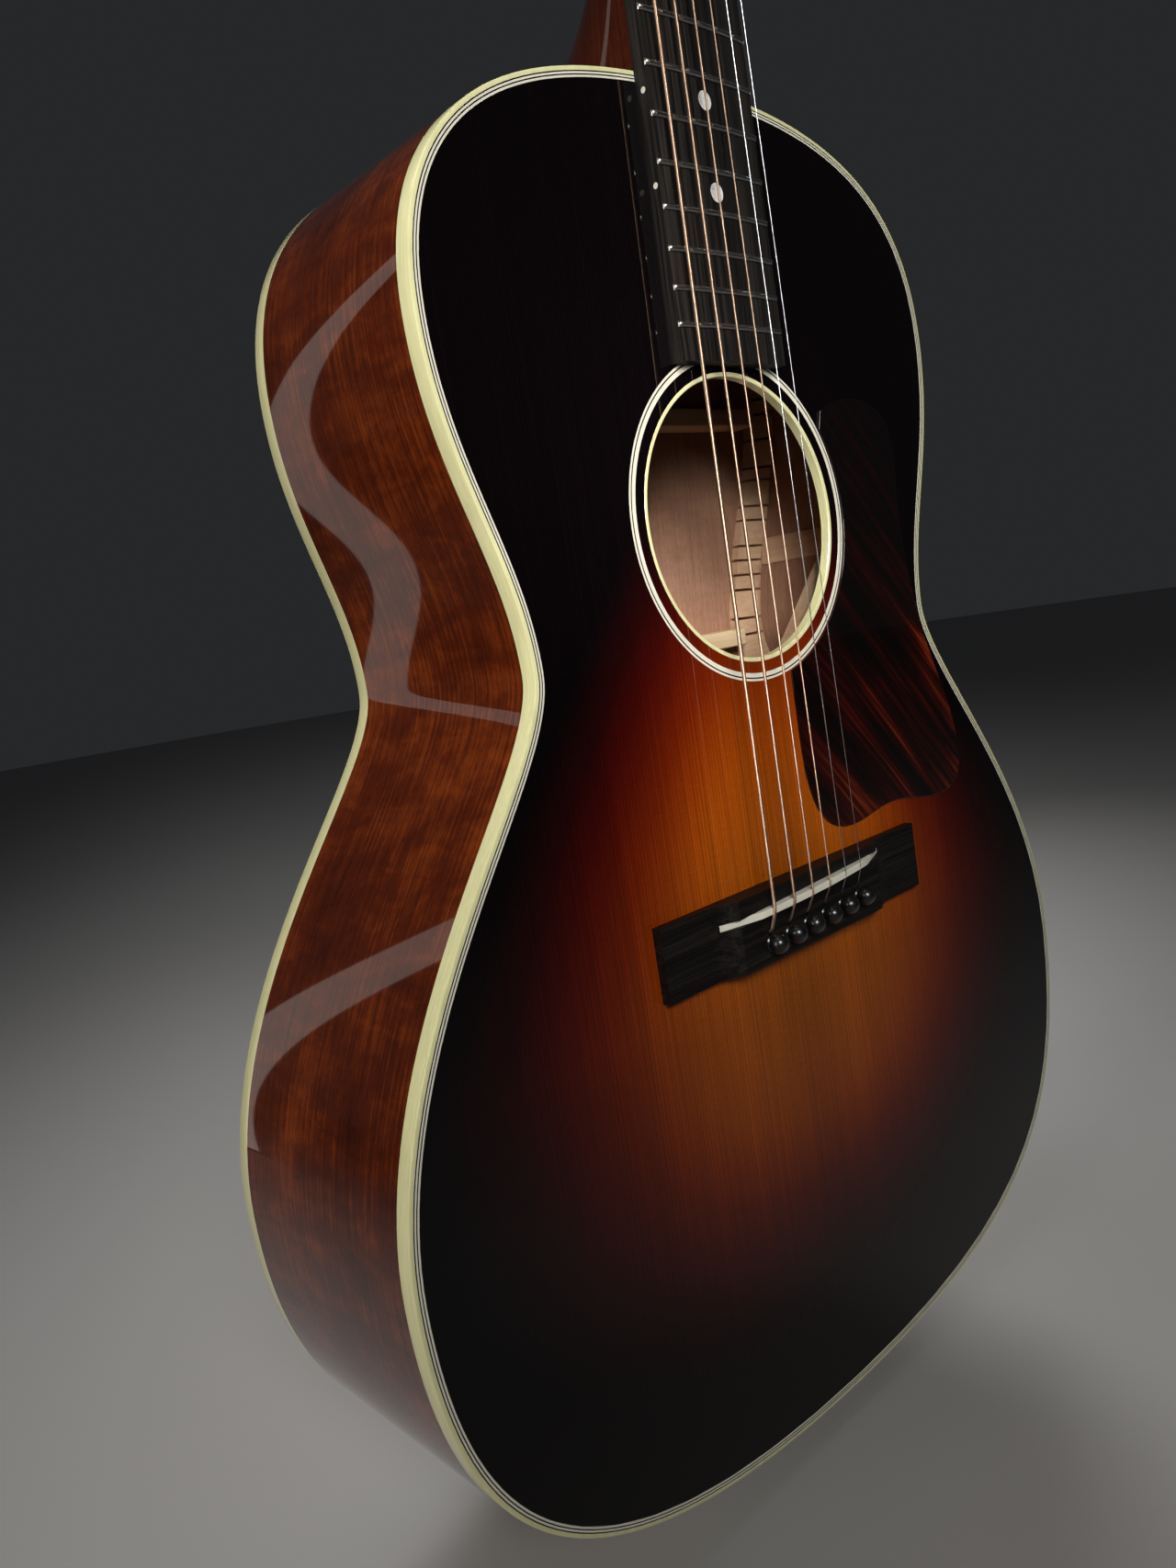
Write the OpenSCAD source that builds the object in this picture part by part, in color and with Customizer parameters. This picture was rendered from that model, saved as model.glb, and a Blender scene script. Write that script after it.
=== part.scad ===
// Small-bodied flat-top acoustic guitar, 14 frets clear of the body, in millimetres.
// +Z runs up the neck, the soundboard faces -Y, and +X is the treble side.
// The origin is the seat of the end pin, on the tail, halfway through the depth of the sides.

/* [Body] */
// Length of the body along the centre line
body_length = 489; // [480:1:500]
// Width across the lower bout
lower_bout = 375; // [365:1:385]
// Height of the widest point of the lower bout
lower_bout_z = 133; // [125:1:140]
// Width across the waist
waist = 217.5; // [210:0.5:225]
// Height of the narrowest point of the waist
waist_z = 301; // [295:1:306]
// Width across the upper bout
upper_bout = 261; // [255:1:268]
// Height of the widest point of the upper bout
upper_bout_z = 406; // [400:1:412]
// Depth of the sides at the tail, plates included
tail_depth = 110; // [104:1:114]
// Depth of the sides at the neck joint, plates included
heel_depth = 89; // [85:1:94]
// Radius of the dome of the back
back_radius = 4572; // [3800:1:7600]
// Thickness of the soundboard
top_t = 2.8; // [2.4:0.1:3.2]
// Thickness of the back
back_t = 2.6; // [2.2:0.1:3]
// Thickness of the sides
rim_t = 2.2; // [2:0.1:2.6]

/* [Outline curves] */
// How far the outline stays level as it leaves the tail
tail_pull = 142; // [130:1:150]
// How far the outline stays upright below the lower bout
low_pull = 86; // [78:1:92]
// How far the outline stays upright above the lower bout
hip_pull = 80; // [72:1:88]
// How far the outline stays upright below the waist
waist_low_pull = 30; // [24:1:36]
// How far the outline stays upright above the waist
waist_high_pull = 36; // [30:1:42]
// How far the outline stays upright below the upper bout
chest_pull = 44; // [38:1:50]
// How far the outline stays upright above the upper bout
shoulder_pull = 61; // [56:1:64]
// How far the outline stays level as it reaches the neck
neck_pull = 80; // [74:1:86]

/* [Binding and linings] */
// Width of the binding, seen from the front or the back
binding_w = 1.5; // [1.3:0.1:1.8]
// Depth of the binding, seen from the side
binding_d = 6; // [5:0.5:7]
// Width of the purfling lines inside the front binding
purfling_w = 2; // [1.6:0.1:2.4]
// Depth of the purfling and rosette channels
inlay_d = 1.2; // [0.8:0.1:1.6]
// Thickness of the kerfed linings
lining_t = 6; // [5:0.5:7]
// Height of the kerfed linings
lining_h = 14; // [12:0.5:16]

/* [Soundhole] */
// Height of the centre of the soundhole
soundhole_z = 341.8; // [340:0.1:343]
// Clear radius of the soundhole
soundhole_r = 49.7; // [48:0.1:50]
// Width of the binding around the soundhole
soundhole_rim_w = 1.6; // [1.4:0.1:2]
// Inner radius of the rosette ring
rosette_r = 55.5; // [54.5:0.1:56]
// Width of the rosette ring
rosette_w = 2.7; // [2:0.1:3]
// Thickness of the pickguard
pickguard_t = 0.8; // [0.6:0.1:1.2]

/* [Bridge] */
// Height of the middle of the bridge
bridge_z = 198.4; // [197:0.1:200]
// Length of the bridge, across the body
bridge_l = 152.8; // [150:0.2:155]
// Width of the bridge, along the strings
bridge_w = 26.4; // [26:0.1:28]
// Height of the middle of the bridge
bridge_h = 8.5; // [8:0.1:9]
// Height of the wings of the bridge
wing_h = 3.8; // [3.6:0.1:4.4]
// Half the length of the full-height middle
bridge_mid = 42; // [38:0.5:44]
// Height of the crown of the saddle above the soundboard
saddle_top = 12.2; // [12:0.1:12.8]
// Length of the saddle
saddle_l = 98; // [94:1:100]
// Thickness of the saddle
saddle_t = 2.6; // [2.4:0.1:3]
// Height of the middle of the saddle
saddle_z = 205.4; // [205:0.1:206]
// Slant of the saddle and of the row of pins, in degrees
saddle_slant = 2.4; // [2:0.1:2.6]
// Height of the middle of the row of bridge pins
pin_z = 193.5; // [193:0.1:194]
// Distance from the first to the last string at the bridge
bridge_spread = 54; // [53:0.5:55]
// Radius of a bridge pin
pin_r = 2.4; // [2.3:0.05:2.5]

/* [Neck] */
// Distance from the nut to the point that the frets are worked out from
scale_length = 628.65; // [625:0.05:632]
// Height of that point
scale_z = 208.5; // [208:0.1:209]
// Width of the neck at the nut
nut_w = 44.4; // [43:0.2:45]
// Width of the neck at the 14th fret
body_fret_w = 53.4; // [52:0.2:54]
// Thickness of the fingerboard
board_t = 6.35; // [6:0.05:6.6]
// Radius of the fingerboard and of the crown of the saddle
board_radius = 305; // [254:1:406]
// Height of the lower end of the fingerboard
board_end_z = 394.7; // [394.5:0.1:396]
// Depth of the neck under the fingerboard at the nut
neck_d_nut = 14.8; // [14.5:0.1:16]
// Depth of the neck under the fingerboard above the heel
neck_d_heel = 18; // [17:0.1:20]
// Length of the curve of the heel
heel_l = 72; // [60:1:80]
// Distance from the first to the last string at the nut
nut_spread = 36.8; // [36:0.2:37.4]

/* [Head] */
// Backward angle of the head, in degrees
head_angle = 15; // [15:1:15]
// Thickness of the head without its veneer
head_t = 14; // [14:0.5:15]
// Thickness of the veneer on the face of the head
veneer_t = 1.5; // [1.2:0.1:1.6]
// Length of the head above the nut
head_l = 174; // [172:1:178]
// Half the width of the head at its shoulder
head_low_x = 34; // [34:0.5:35]
// Half the width of the head at its top
head_top_x = 38; // [37.5:0.5:38.5]
// Distance from the nut to the first pair of string posts
first_post_u = 47; // [46:1:48]
// Distance between the string posts of one side
post_pitch = 39; // [38:0.5:40]
// Distance of the string posts from the centre line
post_x = 25; // [24.5:0.5:25]

/* [Hidden] */
$fn = 48;

// Clearance between glued neighbours whose faces curve, and of anything that turns or slides.
gap = 0.3;
run = 0.05;
// The soundboard's outer face lies at y = face. Depths are counted from it, into the body.
face = -tail_depth / 2;
// The dome of the back is highest at back_apex_z, where the body is back_deep deep.
back_apex_z = (pow(body_length, 2) - 2 * back_radius * (tail_depth - heel_depth)) / 2 / body_length;
back_deep = tail_depth + pow(back_apex_z, 2) / 2 / back_radius;
dome_fn = 256;
dome_turn = 0.45;
beyond = 200;
curve_steps = 14;

nut_z = scale_z + scale_length;
nut_t = 5;
nut_h = 8.6;
head_z = nut_z + nut_t;
fret_count = 20;
fret_w = 2;
fret_h = 1.05;
tang_w = 0.6;
tang_d = 1.8;
dot_r = 3.2;
dot_d = 2.4;
heel_end_d = 100;
heel_cap_t = 1.8;
heel_cap_d = heel_depth - 1.4 - heel_cap_t;
block_w = 70;
neck_block_l = 50;
tail_block_w = 60;
tail_block_l = 22;
tenon_l = 18;
tenon_d = 76;
tenon_in_w = 32;
tenon_out_w = 24;

x_cross_z = 256;
x_brace_w = 8;
x_brace_h = 15;
back_brace_zs = [396, 296, 200, 105];
back_brace_w = 8;
back_brace_h = 14;
side_strip_zs = [438, 334, 250, 180, 90];

end_pin_r = 4.2;
end_pin_hole_r = 3.9;
end_pin_neck = 5;

pin_hole_r = pin_r + run;
pin_ball_r = 3.6;
pin_tip_y = 9;
string_slot_x = 1.75;
// Diameters of the strings, from the first, the thinnest, to the sixth.
string_ds = [0.3, 0.41, 0.61, 0.81, 1.07, 1.35];
ball_r = 1.9;
string_sides = 8;
string_over_nut = 8.1;

rod_y = 8;
rod_r = 2.4;
rod_slot_w = 5.6;
rod_nut_r = 3.4;
rod_nut_l = 9;
pocket_w = 10;
pocket_l = 33;
// The veneer is cut away from here up, under the cover.
pocket_low = 6;
cover_t = 1.6;

post_r = 3;
bushing_r = 4.6;
post_up = 11;
plate_t = 1.2;
plate_in = 9;
plate_out = 8.2;
worm_root_r = 1.8;
worm_tip_r = 2.9;
worm_turns = 4;
worm_steps = 14;
wheel_teeth = 14;
wheel_root_r = 4.3;
wheel_tip_r = 5.55;
wheel_t = 3.8;
worm_pitch = 2 * PI * 5 / wheel_teeth;
worm_offset = 7.5;
worm_v = head_t + plate_t + worm_tip_r + gap;
ear_in = 5.6;
ear_t = 1.5;
ear_w = 6.4;
button_r = 8.5;
button_t = 7;
button_gap = 3;
wrap_turns = 4;

// --- Rules that the shapes follow ---

function cubic(c, t) =
    pow(1 - t, 3) * c[0] + 3 * pow(1 - t, 2) * t * c[1] + 3 * (1 - t) * t * t * c[2] + t * t * t * c[3];
function heading(c, t) =
    let (d = pow(1 - t, 2) * (c[1] - c[0]) + 2 * (1 - t) * t * (c[2] - c[1]) + t * t * (c[3] - c[2]))
    d / norm(d);

// The treble half of the outline is four curves: tail, hip, chest and shoulder.
function body_curves() =
    let (
        b = [lower_bout / 2, lower_bout_z],
        w = [waist / 2, waist_z],
        u = [upper_bout / 2, upper_bout_z]
    )
    [
        [[0, 0], [tail_pull, 0], b - [0, low_pull], b],
        [b, b + [0, hip_pull], w - [0, waist_low_pull], w],
        [w, w + [0, waist_high_pull], u - [0, chest_pull], u],
        [u, u + [0, shoulder_pull], [neck_pull, body_length], [0, body_length]]
    ];

function half_outline(inset) = [
    for (c = body_curves()) for (i = [0:curve_steps - 1])
        let (t = i / curve_steps, h = heading(c, t)) cubic(c, t) + inset * [-h[1], h[0]]
];

function whole_outline(inset) =
    let (half = half_outline(inset), n = len(half))
    concat(half, [[0, body_length - inset]], [for (i = [n - 1:-1:1]) [-half[i][0], half[i][1]]]);

// Depth of the back's outer face on the centre line.
function back_at(z) = back_deep - pow(z - back_apex_z, 2) / 2 / back_radius;

// Half the width of the body at a height, read off the nearest points of its outline.
function half_width(z) = max([
    for (p = half_outline(0)) if (abs(p[1] - z) < 12) p[0] - abs(p[1] - z) * 0.2]);

function fret_z(n) = scale_z + scale_length * pow(2, -n / 12);
// Half the width of the fingerboard.
function board_half(z) =
    let (k = (body_fret_w - nut_w) / 2 / (nut_z - fret_z(14))) nut_w / 2 + (nut_z - z) * k;
// How far a cambered surface has dropped at a distance from its centre line.
function camber(x) = board_radius - sqrt(pow(board_radius, 2) - x * x);

// Strings are numbered from 1, the treble string, to 6, the bass string.
function across(s, spread) = spread * (0.5 - (s - 1) / 5);
function pin_x(s) = across(s, bridge_spread + 0.6);
function pin_at(s) = pin_z + pin_x(s) * tan(saddle_slant);
function saddle_at(x) = saddle_z + x * tan(saddle_slant);
function string_r(s) = string_ds[s - 1] / 2;
function post_side(s) = s <= 3 ? 1 : -1;
// The outer strings go to the posts nearest the nut.
function post_u(s) = first_post_u + post_pitch * (s <= 3 ? s - 1 : 6 - s);
// A point given in the head's own directions: across, into the head and up along it.
function from_head(x, v, u) = [
    x,
    v * cos(head_angle) + u * sin(head_angle),
    head_z + u * cos(head_angle) - v * sin(head_angle)
];

// The faces of a closed tube whose points come in rings of n, each turning the same way.
function tube_faces(rings, n) = concat(
    [[for (k = [n - 1:-1:0]) k]],
    [for (i = [0:rings - 2]) for (k = [0:n - 1])
        [i * n + k, (i + 1) * n + (k + 1) % n, (i + 1) * n + k]],
    [for (i = [0:rings - 2]) for (k = [0:n - 1])
        [i * n + k, i * n + (k + 1) % n, (i + 1) * n + (k + 1) % n]],
    [[for (k = [0:n - 1]) (rings - 1) * n + k]]);

// --- Builders shared by the parts ---

// A flat shape drawn with x across and y up the body, filling the depths from d0 to d1.
module slab(d0, d1) {
    translate([0, face + d1, 0]) rotate([90, 0, 0]) linear_extrude(d1 - d0) children();
}

module at_face() {
    translate([0, face, 0]) children();
}

module at_head() {
    translate([0, face, head_z]) rotate([-head_angle, 0, 0]) children();
}

module outline(inset) {
    polygon(whole_outline(inset));
}

module band(outer, inner) {
    difference() {
        outline(outer);
        outline(inner);
    }
}

module side_of(sign) {
    translate([sign > 0 ? 0 : -beyond * 2, -beyond]) square([beyond * 2, beyond * 6]);
}

// Everything inside the dome of the back, less a skin. The sphere is turned a little, so that
// the corners of its mesh lie close to the deepest points of the body.
module dome(skin) {
    translate([0, face + back_deep - back_radius, back_apex_z]) rotate([dome_turn, 0, 0])
        sphere(r = back_radius - skin, $fn = dome_fn);
}

module bar(x, z, angle, l, w) {
    translate([x, z]) rotate(angle) square([l, w], center = true);
}

module rod(a, b, r) {
    d = b - a;
    l = norm(d);
    translate(a) rotate([0, acos(d[2] / l), atan2(d[1], d[0])]) cylinder(h = l, r = r, $fn = 16);
}

module screw(l) {
    translate([0, -l, 0]) rotate([-90, 0, 0]) cylinder(h = l, r = 1, $fn = 24);
    intersection() {
        translate([0, -1.2, 0]) sphere(r = 2.4, $fn = 24);
        translate([-3, 0, -3]) cube([6, 3, 6]);
    }
}

// --- Body ---

module soundboard() {
    color("#c4661c") difference() {
        slab(0, top_t) outline(binding_w);
        slab(-1, inlay_d) band(-1, binding_w + purfling_w);
        slab(-1, top_t + 1) translate([0, soundhole_z]) circle(soundhole_r + soundhole_rim_w, $fn = 96);
        slab(-1, inlay_d) rosette_ring();
        slab(-1, top_t + 1) pin_holes();
    }
}

module pin_holes() {
    for (s = [1:6]) translate([pin_x(s), pin_at(s)]) circle(pin_hole_r);
}

module rosette_ring() {
    translate([0, soundhole_z]) difference() {
        circle(rosette_r + rosette_w, $fn = 96);
        circle(rosette_r, $fn = 96);
    }
}

module back_plate() {
    color("#6b2a14") difference() {
        intersection() {
            slab(heel_depth - 20, beyond) outline(binding_w);
            dome(0);
        }
        dome(back_t);
    }
}

module rim(sign) {
    color("#7a3016") difference() {
        intersection() {
            slab(top_t, beyond) intersection() {
                band(0, rim_t);
                side_of(sign);
            }
            dome(back_t);
        }
        slab(0, binding_d) band(-1, binding_w);
        difference() {
            slab(heel_depth - 20, beyond) band(-1, binding_w);
            dome(binding_d);
        }
        slab(0, beyond) translate([-tenon_in_w / 2, body_length - 10]) square([tenon_in_w, 20]);
        cylinder(h = 10, r = end_pin_hole_r, center = true);
    }
}

module rim_bass() {
    rim(-1);
}

module rim_treble() {
    rim(1);
}

module top_binding() {
    color("#e9dfae") slab(0, binding_d) band(0, binding_w);
}

module back_binding() {
    color("#e9dfae") difference() {
        intersection() {
            slab(heel_depth - 20, beyond) band(0, binding_w);
            dome(0);
        }
        dome(binding_d);
    }
}

module top_purfling() {
    color("#1c1a18") slab(0, inlay_d) band(binding_w, binding_w + purfling_w);
}

module blocks_flat() {
    translate([-block_w / 2, body_length - neck_block_l - rim_t]) square([block_w, neck_block_l * 2]);
    translate([-tail_block_w / 2, -tail_block_l]) square([tail_block_w, 2 * tail_block_l + rim_t]);
}

module lining_flat() {
    difference() {
        band(rim_t, rim_t + lining_t);
        blocks_flat();
    }
}

module top_lining() {
    color("#c79a63") slab(top_t, top_t + lining_h) lining_flat();
}

module back_lining() {
    color("#c79a63") difference() {
        intersection() {
            slab(heel_depth - 30, beyond) lining_flat();
            dome(back_t);
        }
        dome(back_t + lining_h);
    }
}

module rosette() {
    color("#e9e2c4") slab(0, inlay_d) rosette_ring();
}

module soundhole_binding() {
    color("#e9dfae") slab(0, top_t + 0.8) translate([0, soundhole_z]) difference() {
        circle(soundhole_r + soundhole_rim_w, $fn = 96);
        circle(soundhole_r, $fn = 96);
    }
}

// The pickguard follows the rosette, then swings out and back in two round lobes.
function guard_curves() = [
    [[52, 380], [70, 389], [100, 386], [99.5, 362]],
    [[99.5, 362], [97, 340], [97, 318], [106, 288]],
    [[106, 288], [117, 262], [124, 248], [124, 234]],
    [[124, 234], [124, 212], [98, 218], [80, 221.5]],
    [[80, 221.5], [62, 224.5], [54, 219.5], [41, 219.5]],
    [[41, 219.5], [12, 219.5], [14, 248], [14, 278]]
];

module pickguard() {
    color("#4a120a") slab(-pickguard_t, 0) difference() {
        polygon(concat(
            [for (c = guard_curves()) for (i = [0:5]) cubic(c, i / 6)],
            [[14, 290], [40, 340]]));
        translate([0, soundhole_z]) circle(rosette_r + rosette_w + 0.4, $fn = 96);
    }
}

// --- Bracing, blocks and linings inside the body ---

module braces(h) {
    slab(top_t, top_t + h) intersection() {
        outline(rim_t + lining_t + gap);
        union() children();
    }
}

module x_leg(sign) {
    bar(0, x_cross_z, 45 * sign, 600, x_brace_w);
}

module x_brace_a() {
    color("#dcb67f") difference() {
        braces(x_brace_h) x_leg(1);
        slab(top_t + x_brace_h / 2, beyond) x_leg(-1);
    }
}

module x_brace_b() {
    color("#dcb67f") difference() {
        braces(x_brace_h) x_leg(-1);
        slab(0, top_t + x_brace_h / 2) x_leg(1);
    }
}

module tone_bars() {
    color("#dcb67f") braces(10) {
        bar(0, 150, -20, 150, 6);
        bar(12, 98, -20, 180, 6);
    }
}

module finger_braces() {
    color("#dcb67f") braces(8) for (sign = [-1, 1]) {
        bar(sign * 105, 236, -20 * sign, 60, 5);
        bar(sign * 118, 190, -25 * sign, 60, 5);
    }
}

module transverse_brace() {
    color("#dcb67f") braces(12) bar(0, 412, 0, 300, 10);
}

module bridge_plate() {
    low = bridge_z - 20;
    high = bridge_z + 24;
    color("#a8703c") slab(top_t, top_t + 2.4) difference() {
        polygon([[-70, low], [70, low], [27, high], [-27, high]]);
        pin_holes();
    }
}

// A ladder brace is arched to the back: its profile, drawn across the body, is carried up it.
module back_braces() {
    color("#dcb67f") for (z = back_brace_zs) {
        half = half_width(z) - rim_t - lining_t - 7;
        high = z + back_brace_w / 2;
        deep = face + back_at(high) - back_t - run;
        translate([0, 0, z - back_brace_w / 2]) linear_extrude(back_brace_w) polygon(concat(
            [[-half, deep - back_brace_h], [half, deep - back_brace_h]],
            [for (i = [12:-1:-12]) let (x = half * i / 12) [x, deep - x * x / 2 / back_radius]]));
    }
}

module back_strip() {
    color("#dcb67f") difference() {
        intersection() {
            slab(heel_depth - 30, beyond) difference() {
                translate([-10, tail_block_l + rim_t + gap])
                    square([20, body_length - neck_block_l - tail_block_l - 2 * rim_t - 2 * gap]);
                for (z = back_brace_zs) bar(0, z, 0, 400, back_brace_w + gap);
            }
            dome(back_t);
        }
        dome(back_t + 2);
    }
}

module side_strips() {
    color("#c79a63") for (z = side_strip_zs) {
        low = back_at(z + 6) - pow(half_width(z), 2) / 2 / back_radius - back_t - lining_h - gap;
        slab(top_t + lining_h + gap, low) intersection() {
            band(rim_t, rim_t + 1.4);
            bar(0, z, 0, 400, 12);
        }
    }
}

module tenon_flat(slack) {
    polygon([
        [-tenon_out_w / 2 - slack, body_length + 1],
        [-tenon_in_w / 2 - slack, body_length - tenon_l - slack],
        [tenon_in_w / 2 + slack, body_length - tenon_l - slack],
        [tenon_out_w / 2 + slack, body_length + 1]]);
}

module neck_block() {
    color("#8a4a28") difference() {
        intersection() {
            slab(top_t, beyond) intersection() {
                outline(rim_t);
                translate([-block_w / 2, body_length - neck_block_l - rim_t])
                    square([block_w, neck_block_l * 2]);
            }
            dome(back_t);
        }
        slab(binding_d, tenon_d + 0.1) tenon_flat(0.1);
    }
}

module tail_block() {
    color("#8a4a28") difference() {
        intersection() {
            slab(top_t, beyond) intersection() {
                outline(rim_t);
                translate([-tail_block_w / 2, 0]) square([tail_block_w, tail_block_l + rim_t]);
            }
            dome(back_t);
        }
        cylinder(h = 100, r = end_pin_hole_r, center = true);
    }
}

module end_pin() {
    color("#15120f") {
        cylinder(h = tail_block_l, r = end_pin_hole_r);
        translate([0, 0, -end_pin_neck]) cylinder(h = end_pin_neck, r = end_pin_r);
        translate([0, 0, -end_pin_neck - 4]) intersection() {
            sphere(r = 7.4);
            translate([0, 0, -2]) cylinder(h = 6, r = 8);
        }
    }
}

// --- Neck and head ---

neck_sections = 26;
profile_steps = 18;

// How far a height lies into the heel: 0 above it, 1 at the body.
function heel_share(z) = pow(max(0, 1 - (z - body_length) / heel_l), 2.4);
function neck_depth(z) =
    let (shaft = neck_d_nut + (neck_d_heel - neck_d_nut) * (nut_z - z) / (nut_z - body_length))
    shaft + (heel_end_d - shaft) * heel_share(z);
// Sections lie close together along the heel and far apart along the shaft.
function neck_section_z(i) =
    body_length + (head_z - body_length) * pow(i / (neck_sections - 1), 2.2);
function neck_ring(z) = [
    for (k = [0:profile_steps])
        let (a = 180 * k / profile_steps, narrow = 1 + 0.7 * heel_share(z), c = cos(a))
        [-sign(c) * board_half(z) * pow(abs(c), narrow), neck_depth(z) * sin(a), z]
];

module neck_shaft() {
    n = profile_steps + 1;
    at_face() polyhedron(
        points = [for (i = [0:neck_sections - 1]) for (p = neck_ring(neck_section_z(i))) p],
        faces = tube_faces(neck_sections, n));
}

// Outline of the head, with x across and y up along it: straight sides under a shallow arch.
module head_flat() {
    arch = 6;
    rise = head_l - arch;
    round_r = (pow(head_top_x, 2) + arch * arch) / 2 / arch;
    intersection() {
        polygon([
            [-nut_w / 2, 0], [nut_w / 2, 0], [nut_w / 2 + 1, 8], [head_low_x, 30],
            [head_top_x, rise + 12], [-head_top_x, rise + 12], [-head_low_x, 30], [-nut_w / 2 - 1, 8]]);
        translate([0, head_l - round_r]) circle(round_r, $fn = 180);
    }
}

module head_slab(v0, v1) {
    at_head() translate([0, v1, 0]) rotate([90, 0, 0]) linear_extrude(v1 - v0) children();
}

module post_holes(r) {
    for (s = [1:6]) translate([post_side(s) * post_x, post_u(s)]) circle(r);
}

module neck() {
    color("#5c2412") difference() {
        union() {
            difference() {
                neck_shaft();
                at_face() translate([-20, heel_cap_d, body_length - 1]) cube([40, 40, 80]);
            }
            head_slab(0, head_t) head_flat();
            slab(binding_d, tenon_d) tenon_flat(0);
        }
        head_slab(-1, head_t + 1) post_holes(bushing_r);
        // Channel of the truss rod, and the pocket that its nut is reached through.
        at_face() translate([-rod_slot_w / 2, -1, body_length + 6])
            cube([rod_slot_w, rod_y + rod_r + 1.2, nut_z - body_length - 6 + 1]);
        at_face() translate([0, rod_y, nut_z]) cylinder(h = nut_t + 6, r = rod_r + 0.4);
        at_face() translate([-pocket_w / 2, 0.6, head_z + 2]) cube([pocket_w, rod_y + 3.4, pocket_l - 5]);
        head_slab(-1, head_t + 1) holes_at(plate_screws);
        head_slab(-1, 6) holes_at(cover_screws);
    }
}

module heel_cap() {
    color("#e9dfae") slab(heel_cap_d, heel_cap_d + heel_cap_t) intersection() {
        translate([0, body_length]) circle(9.4);
        translate([-20, body_length + 0.2]) square([40, 20]);
    }
}

module truss_rod() {
    color("silver") at_face() translate([0, rod_y, body_length + 8])
        cylinder(h = head_z + 14 - body_length - 8, r = rod_r, $fn = 32);
}

module truss_rod_nut() {
    color("#b8923a") at_face() translate([0, rod_y, head_z + 3]) difference() {
        cylinder(h = rod_nut_l, r = rod_nut_r, $fn = 6);
        translate([0, 0, -1]) cylinder(h = rod_nut_l + 2, r = rod_r + run, $fn = 32);
    }
}

module cover_flat() {
    hull() {
        translate([0, 8]) square([22, 6], center = true);
        translate([0, 24]) square([19, 16], center = true);
        translate([0, 40]) circle(4);
    }
}

module truss_rod_cover() {
    color("#17130f") head_slab(-veneer_t - cover_t, -veneer_t) difference() {
        cover_flat();
        holes_at(cover_screws);
    }
}

module head_veneer() {
    color("#17130f") head_slab(-veneer_t, 0) difference() {
        head_flat();
        post_holes(bushing_r);
        translate([-pocket_w / 2, pocket_low]) square([pocket_w, pocket_l - pocket_low]);
        holes_at(cover_screws);
    }
}

module nut() {
    color("#efe9d2") difference() {
        at_face() translate([0, -nut_h, nut_z]) difference() {
            translate([-nut_w / 2, 0, 0]) cube([nut_w, nut_h, nut_t]);
            translate([0, -1, 1.4]) rotate([-8, 0, 0]) translate([-30, -4, 0]) cube([60, 4, 6]);
        }
        for (s = [1:6]) nut_slot(s);
    }
}

// A slot that a string lies in as it comes up the fingerboard, turns over the nut and runs down
// to its post. It is open towards the front, and square in section.
module nut_slot(s) {
    route = string_route(s);
    corner = route[5];
    r = string_r(s) + 0.08;
    on = route[6] - corner;
    deep = r * norm(on) / on[2];
    at_face() translate(corner) {
        translate([-r, -4, -3]) cube([2 * r, 4 + r, 3.01]);
        rotate([0, atan2(on[0], on[2]), 0]) translate([-r, 0, 0]) rotate([90, 0, 90])
            linear_extrude(2 * r)
                polygon([[deep, 0], [deep + 6 * on[1] / on[2], 6], [-4, 6], [-4, 0]]);
    }
}

// --- Fingerboard ---

module board_flat(z0, z1) {
    polygon([
        [-board_half(z0), z0], [board_half(z0), z0],
        [board_half(z1), z1], [-board_half(z1), z1]]);
}

// A cylinder along the neck whose near side is the cambered surface, raised by up.
module camber_body(up) {
    at_face() translate([0, board_radius - board_t, board_end_z - 10])
        cylinder(h = nut_z - board_end_z + 20, r = board_radius + up, $fn = 720);
}

module dot_spots() {
    single = [3, 5, 7, 9, 15, 17];
    for (n = single) translate([0, (fret_z(n) + fret_z(n - 1)) / 2]) children();
    for (sign = [-1, 1]) translate([sign * 10, (fret_z(12) + fret_z(11)) / 2]) children();
}

module side_dot(n) {
    z = (fret_z(n) + fret_z(n - 1)) / 2;
    at_face() translate([-board_half(z) - 1, -board_t / 2, z]) rotate([0, 90, 0])
        cylinder(h = 3, r = 1, $fn = 24);
}

module side_dot_bodies() {
    for (n = [3, 5, 7, 9, 12, 15, 17]) side_dot(n);
}

module fingerboard() {
    color("#231f1d") difference() {
        intersection() {
            slab(-board_t, 0) board_flat(board_end_z, nut_z);
            camber_body(0);
        }
        for (n = [1:fret_count])
            slab(-board_t - 1, -board_t + tang_d) translate([-40, fret_z(n) - tang_w / 2])
                square([80, tang_w]);
        slab(-board_t - 1, -board_t + dot_d) dot_spots() circle(dot_r);
        side_dot_bodies();
    }
}

// One fret: a crown turned about the camber's axis, on a tang that fills its slot.
module fret(n) {
    z = fret_z(n);
    half = board_half(z);
    reach = asin((half + 0.2) / board_radius);
    intersection() {
        union() {
            at_face() translate([0, board_radius - board_t, z]) rotate([0, 0, -90 - reach])
                rotate_extrude(angle = 2 * reach, $fn = 720) translate([board_radius, 0])
                    polygon([for (a = [-90:22.5:90]) [fret_h * cos(a), fret_w / 2 * sin(a)]]);
            intersection() {
                slab(-board_t - 1, -board_t + tang_d) translate([-half, z - tang_w / 2])
                    square([2 * half, tang_w]);
                camber_body(0.4);
            }
        }
        slab(-board_t - 3, 0) board_flat(z - 5, z + 5);
    }
}

module frets() {
    color("#c9c9c4") for (n = [1:fret_count]) fret(n);
}

module inlay_dots() {
    color("#dfe4e2") intersection() {
        slab(-board_t - 1, -board_t + dot_d) dot_spots() circle(dot_r);
        camber_body(0);
    }
}

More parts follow.
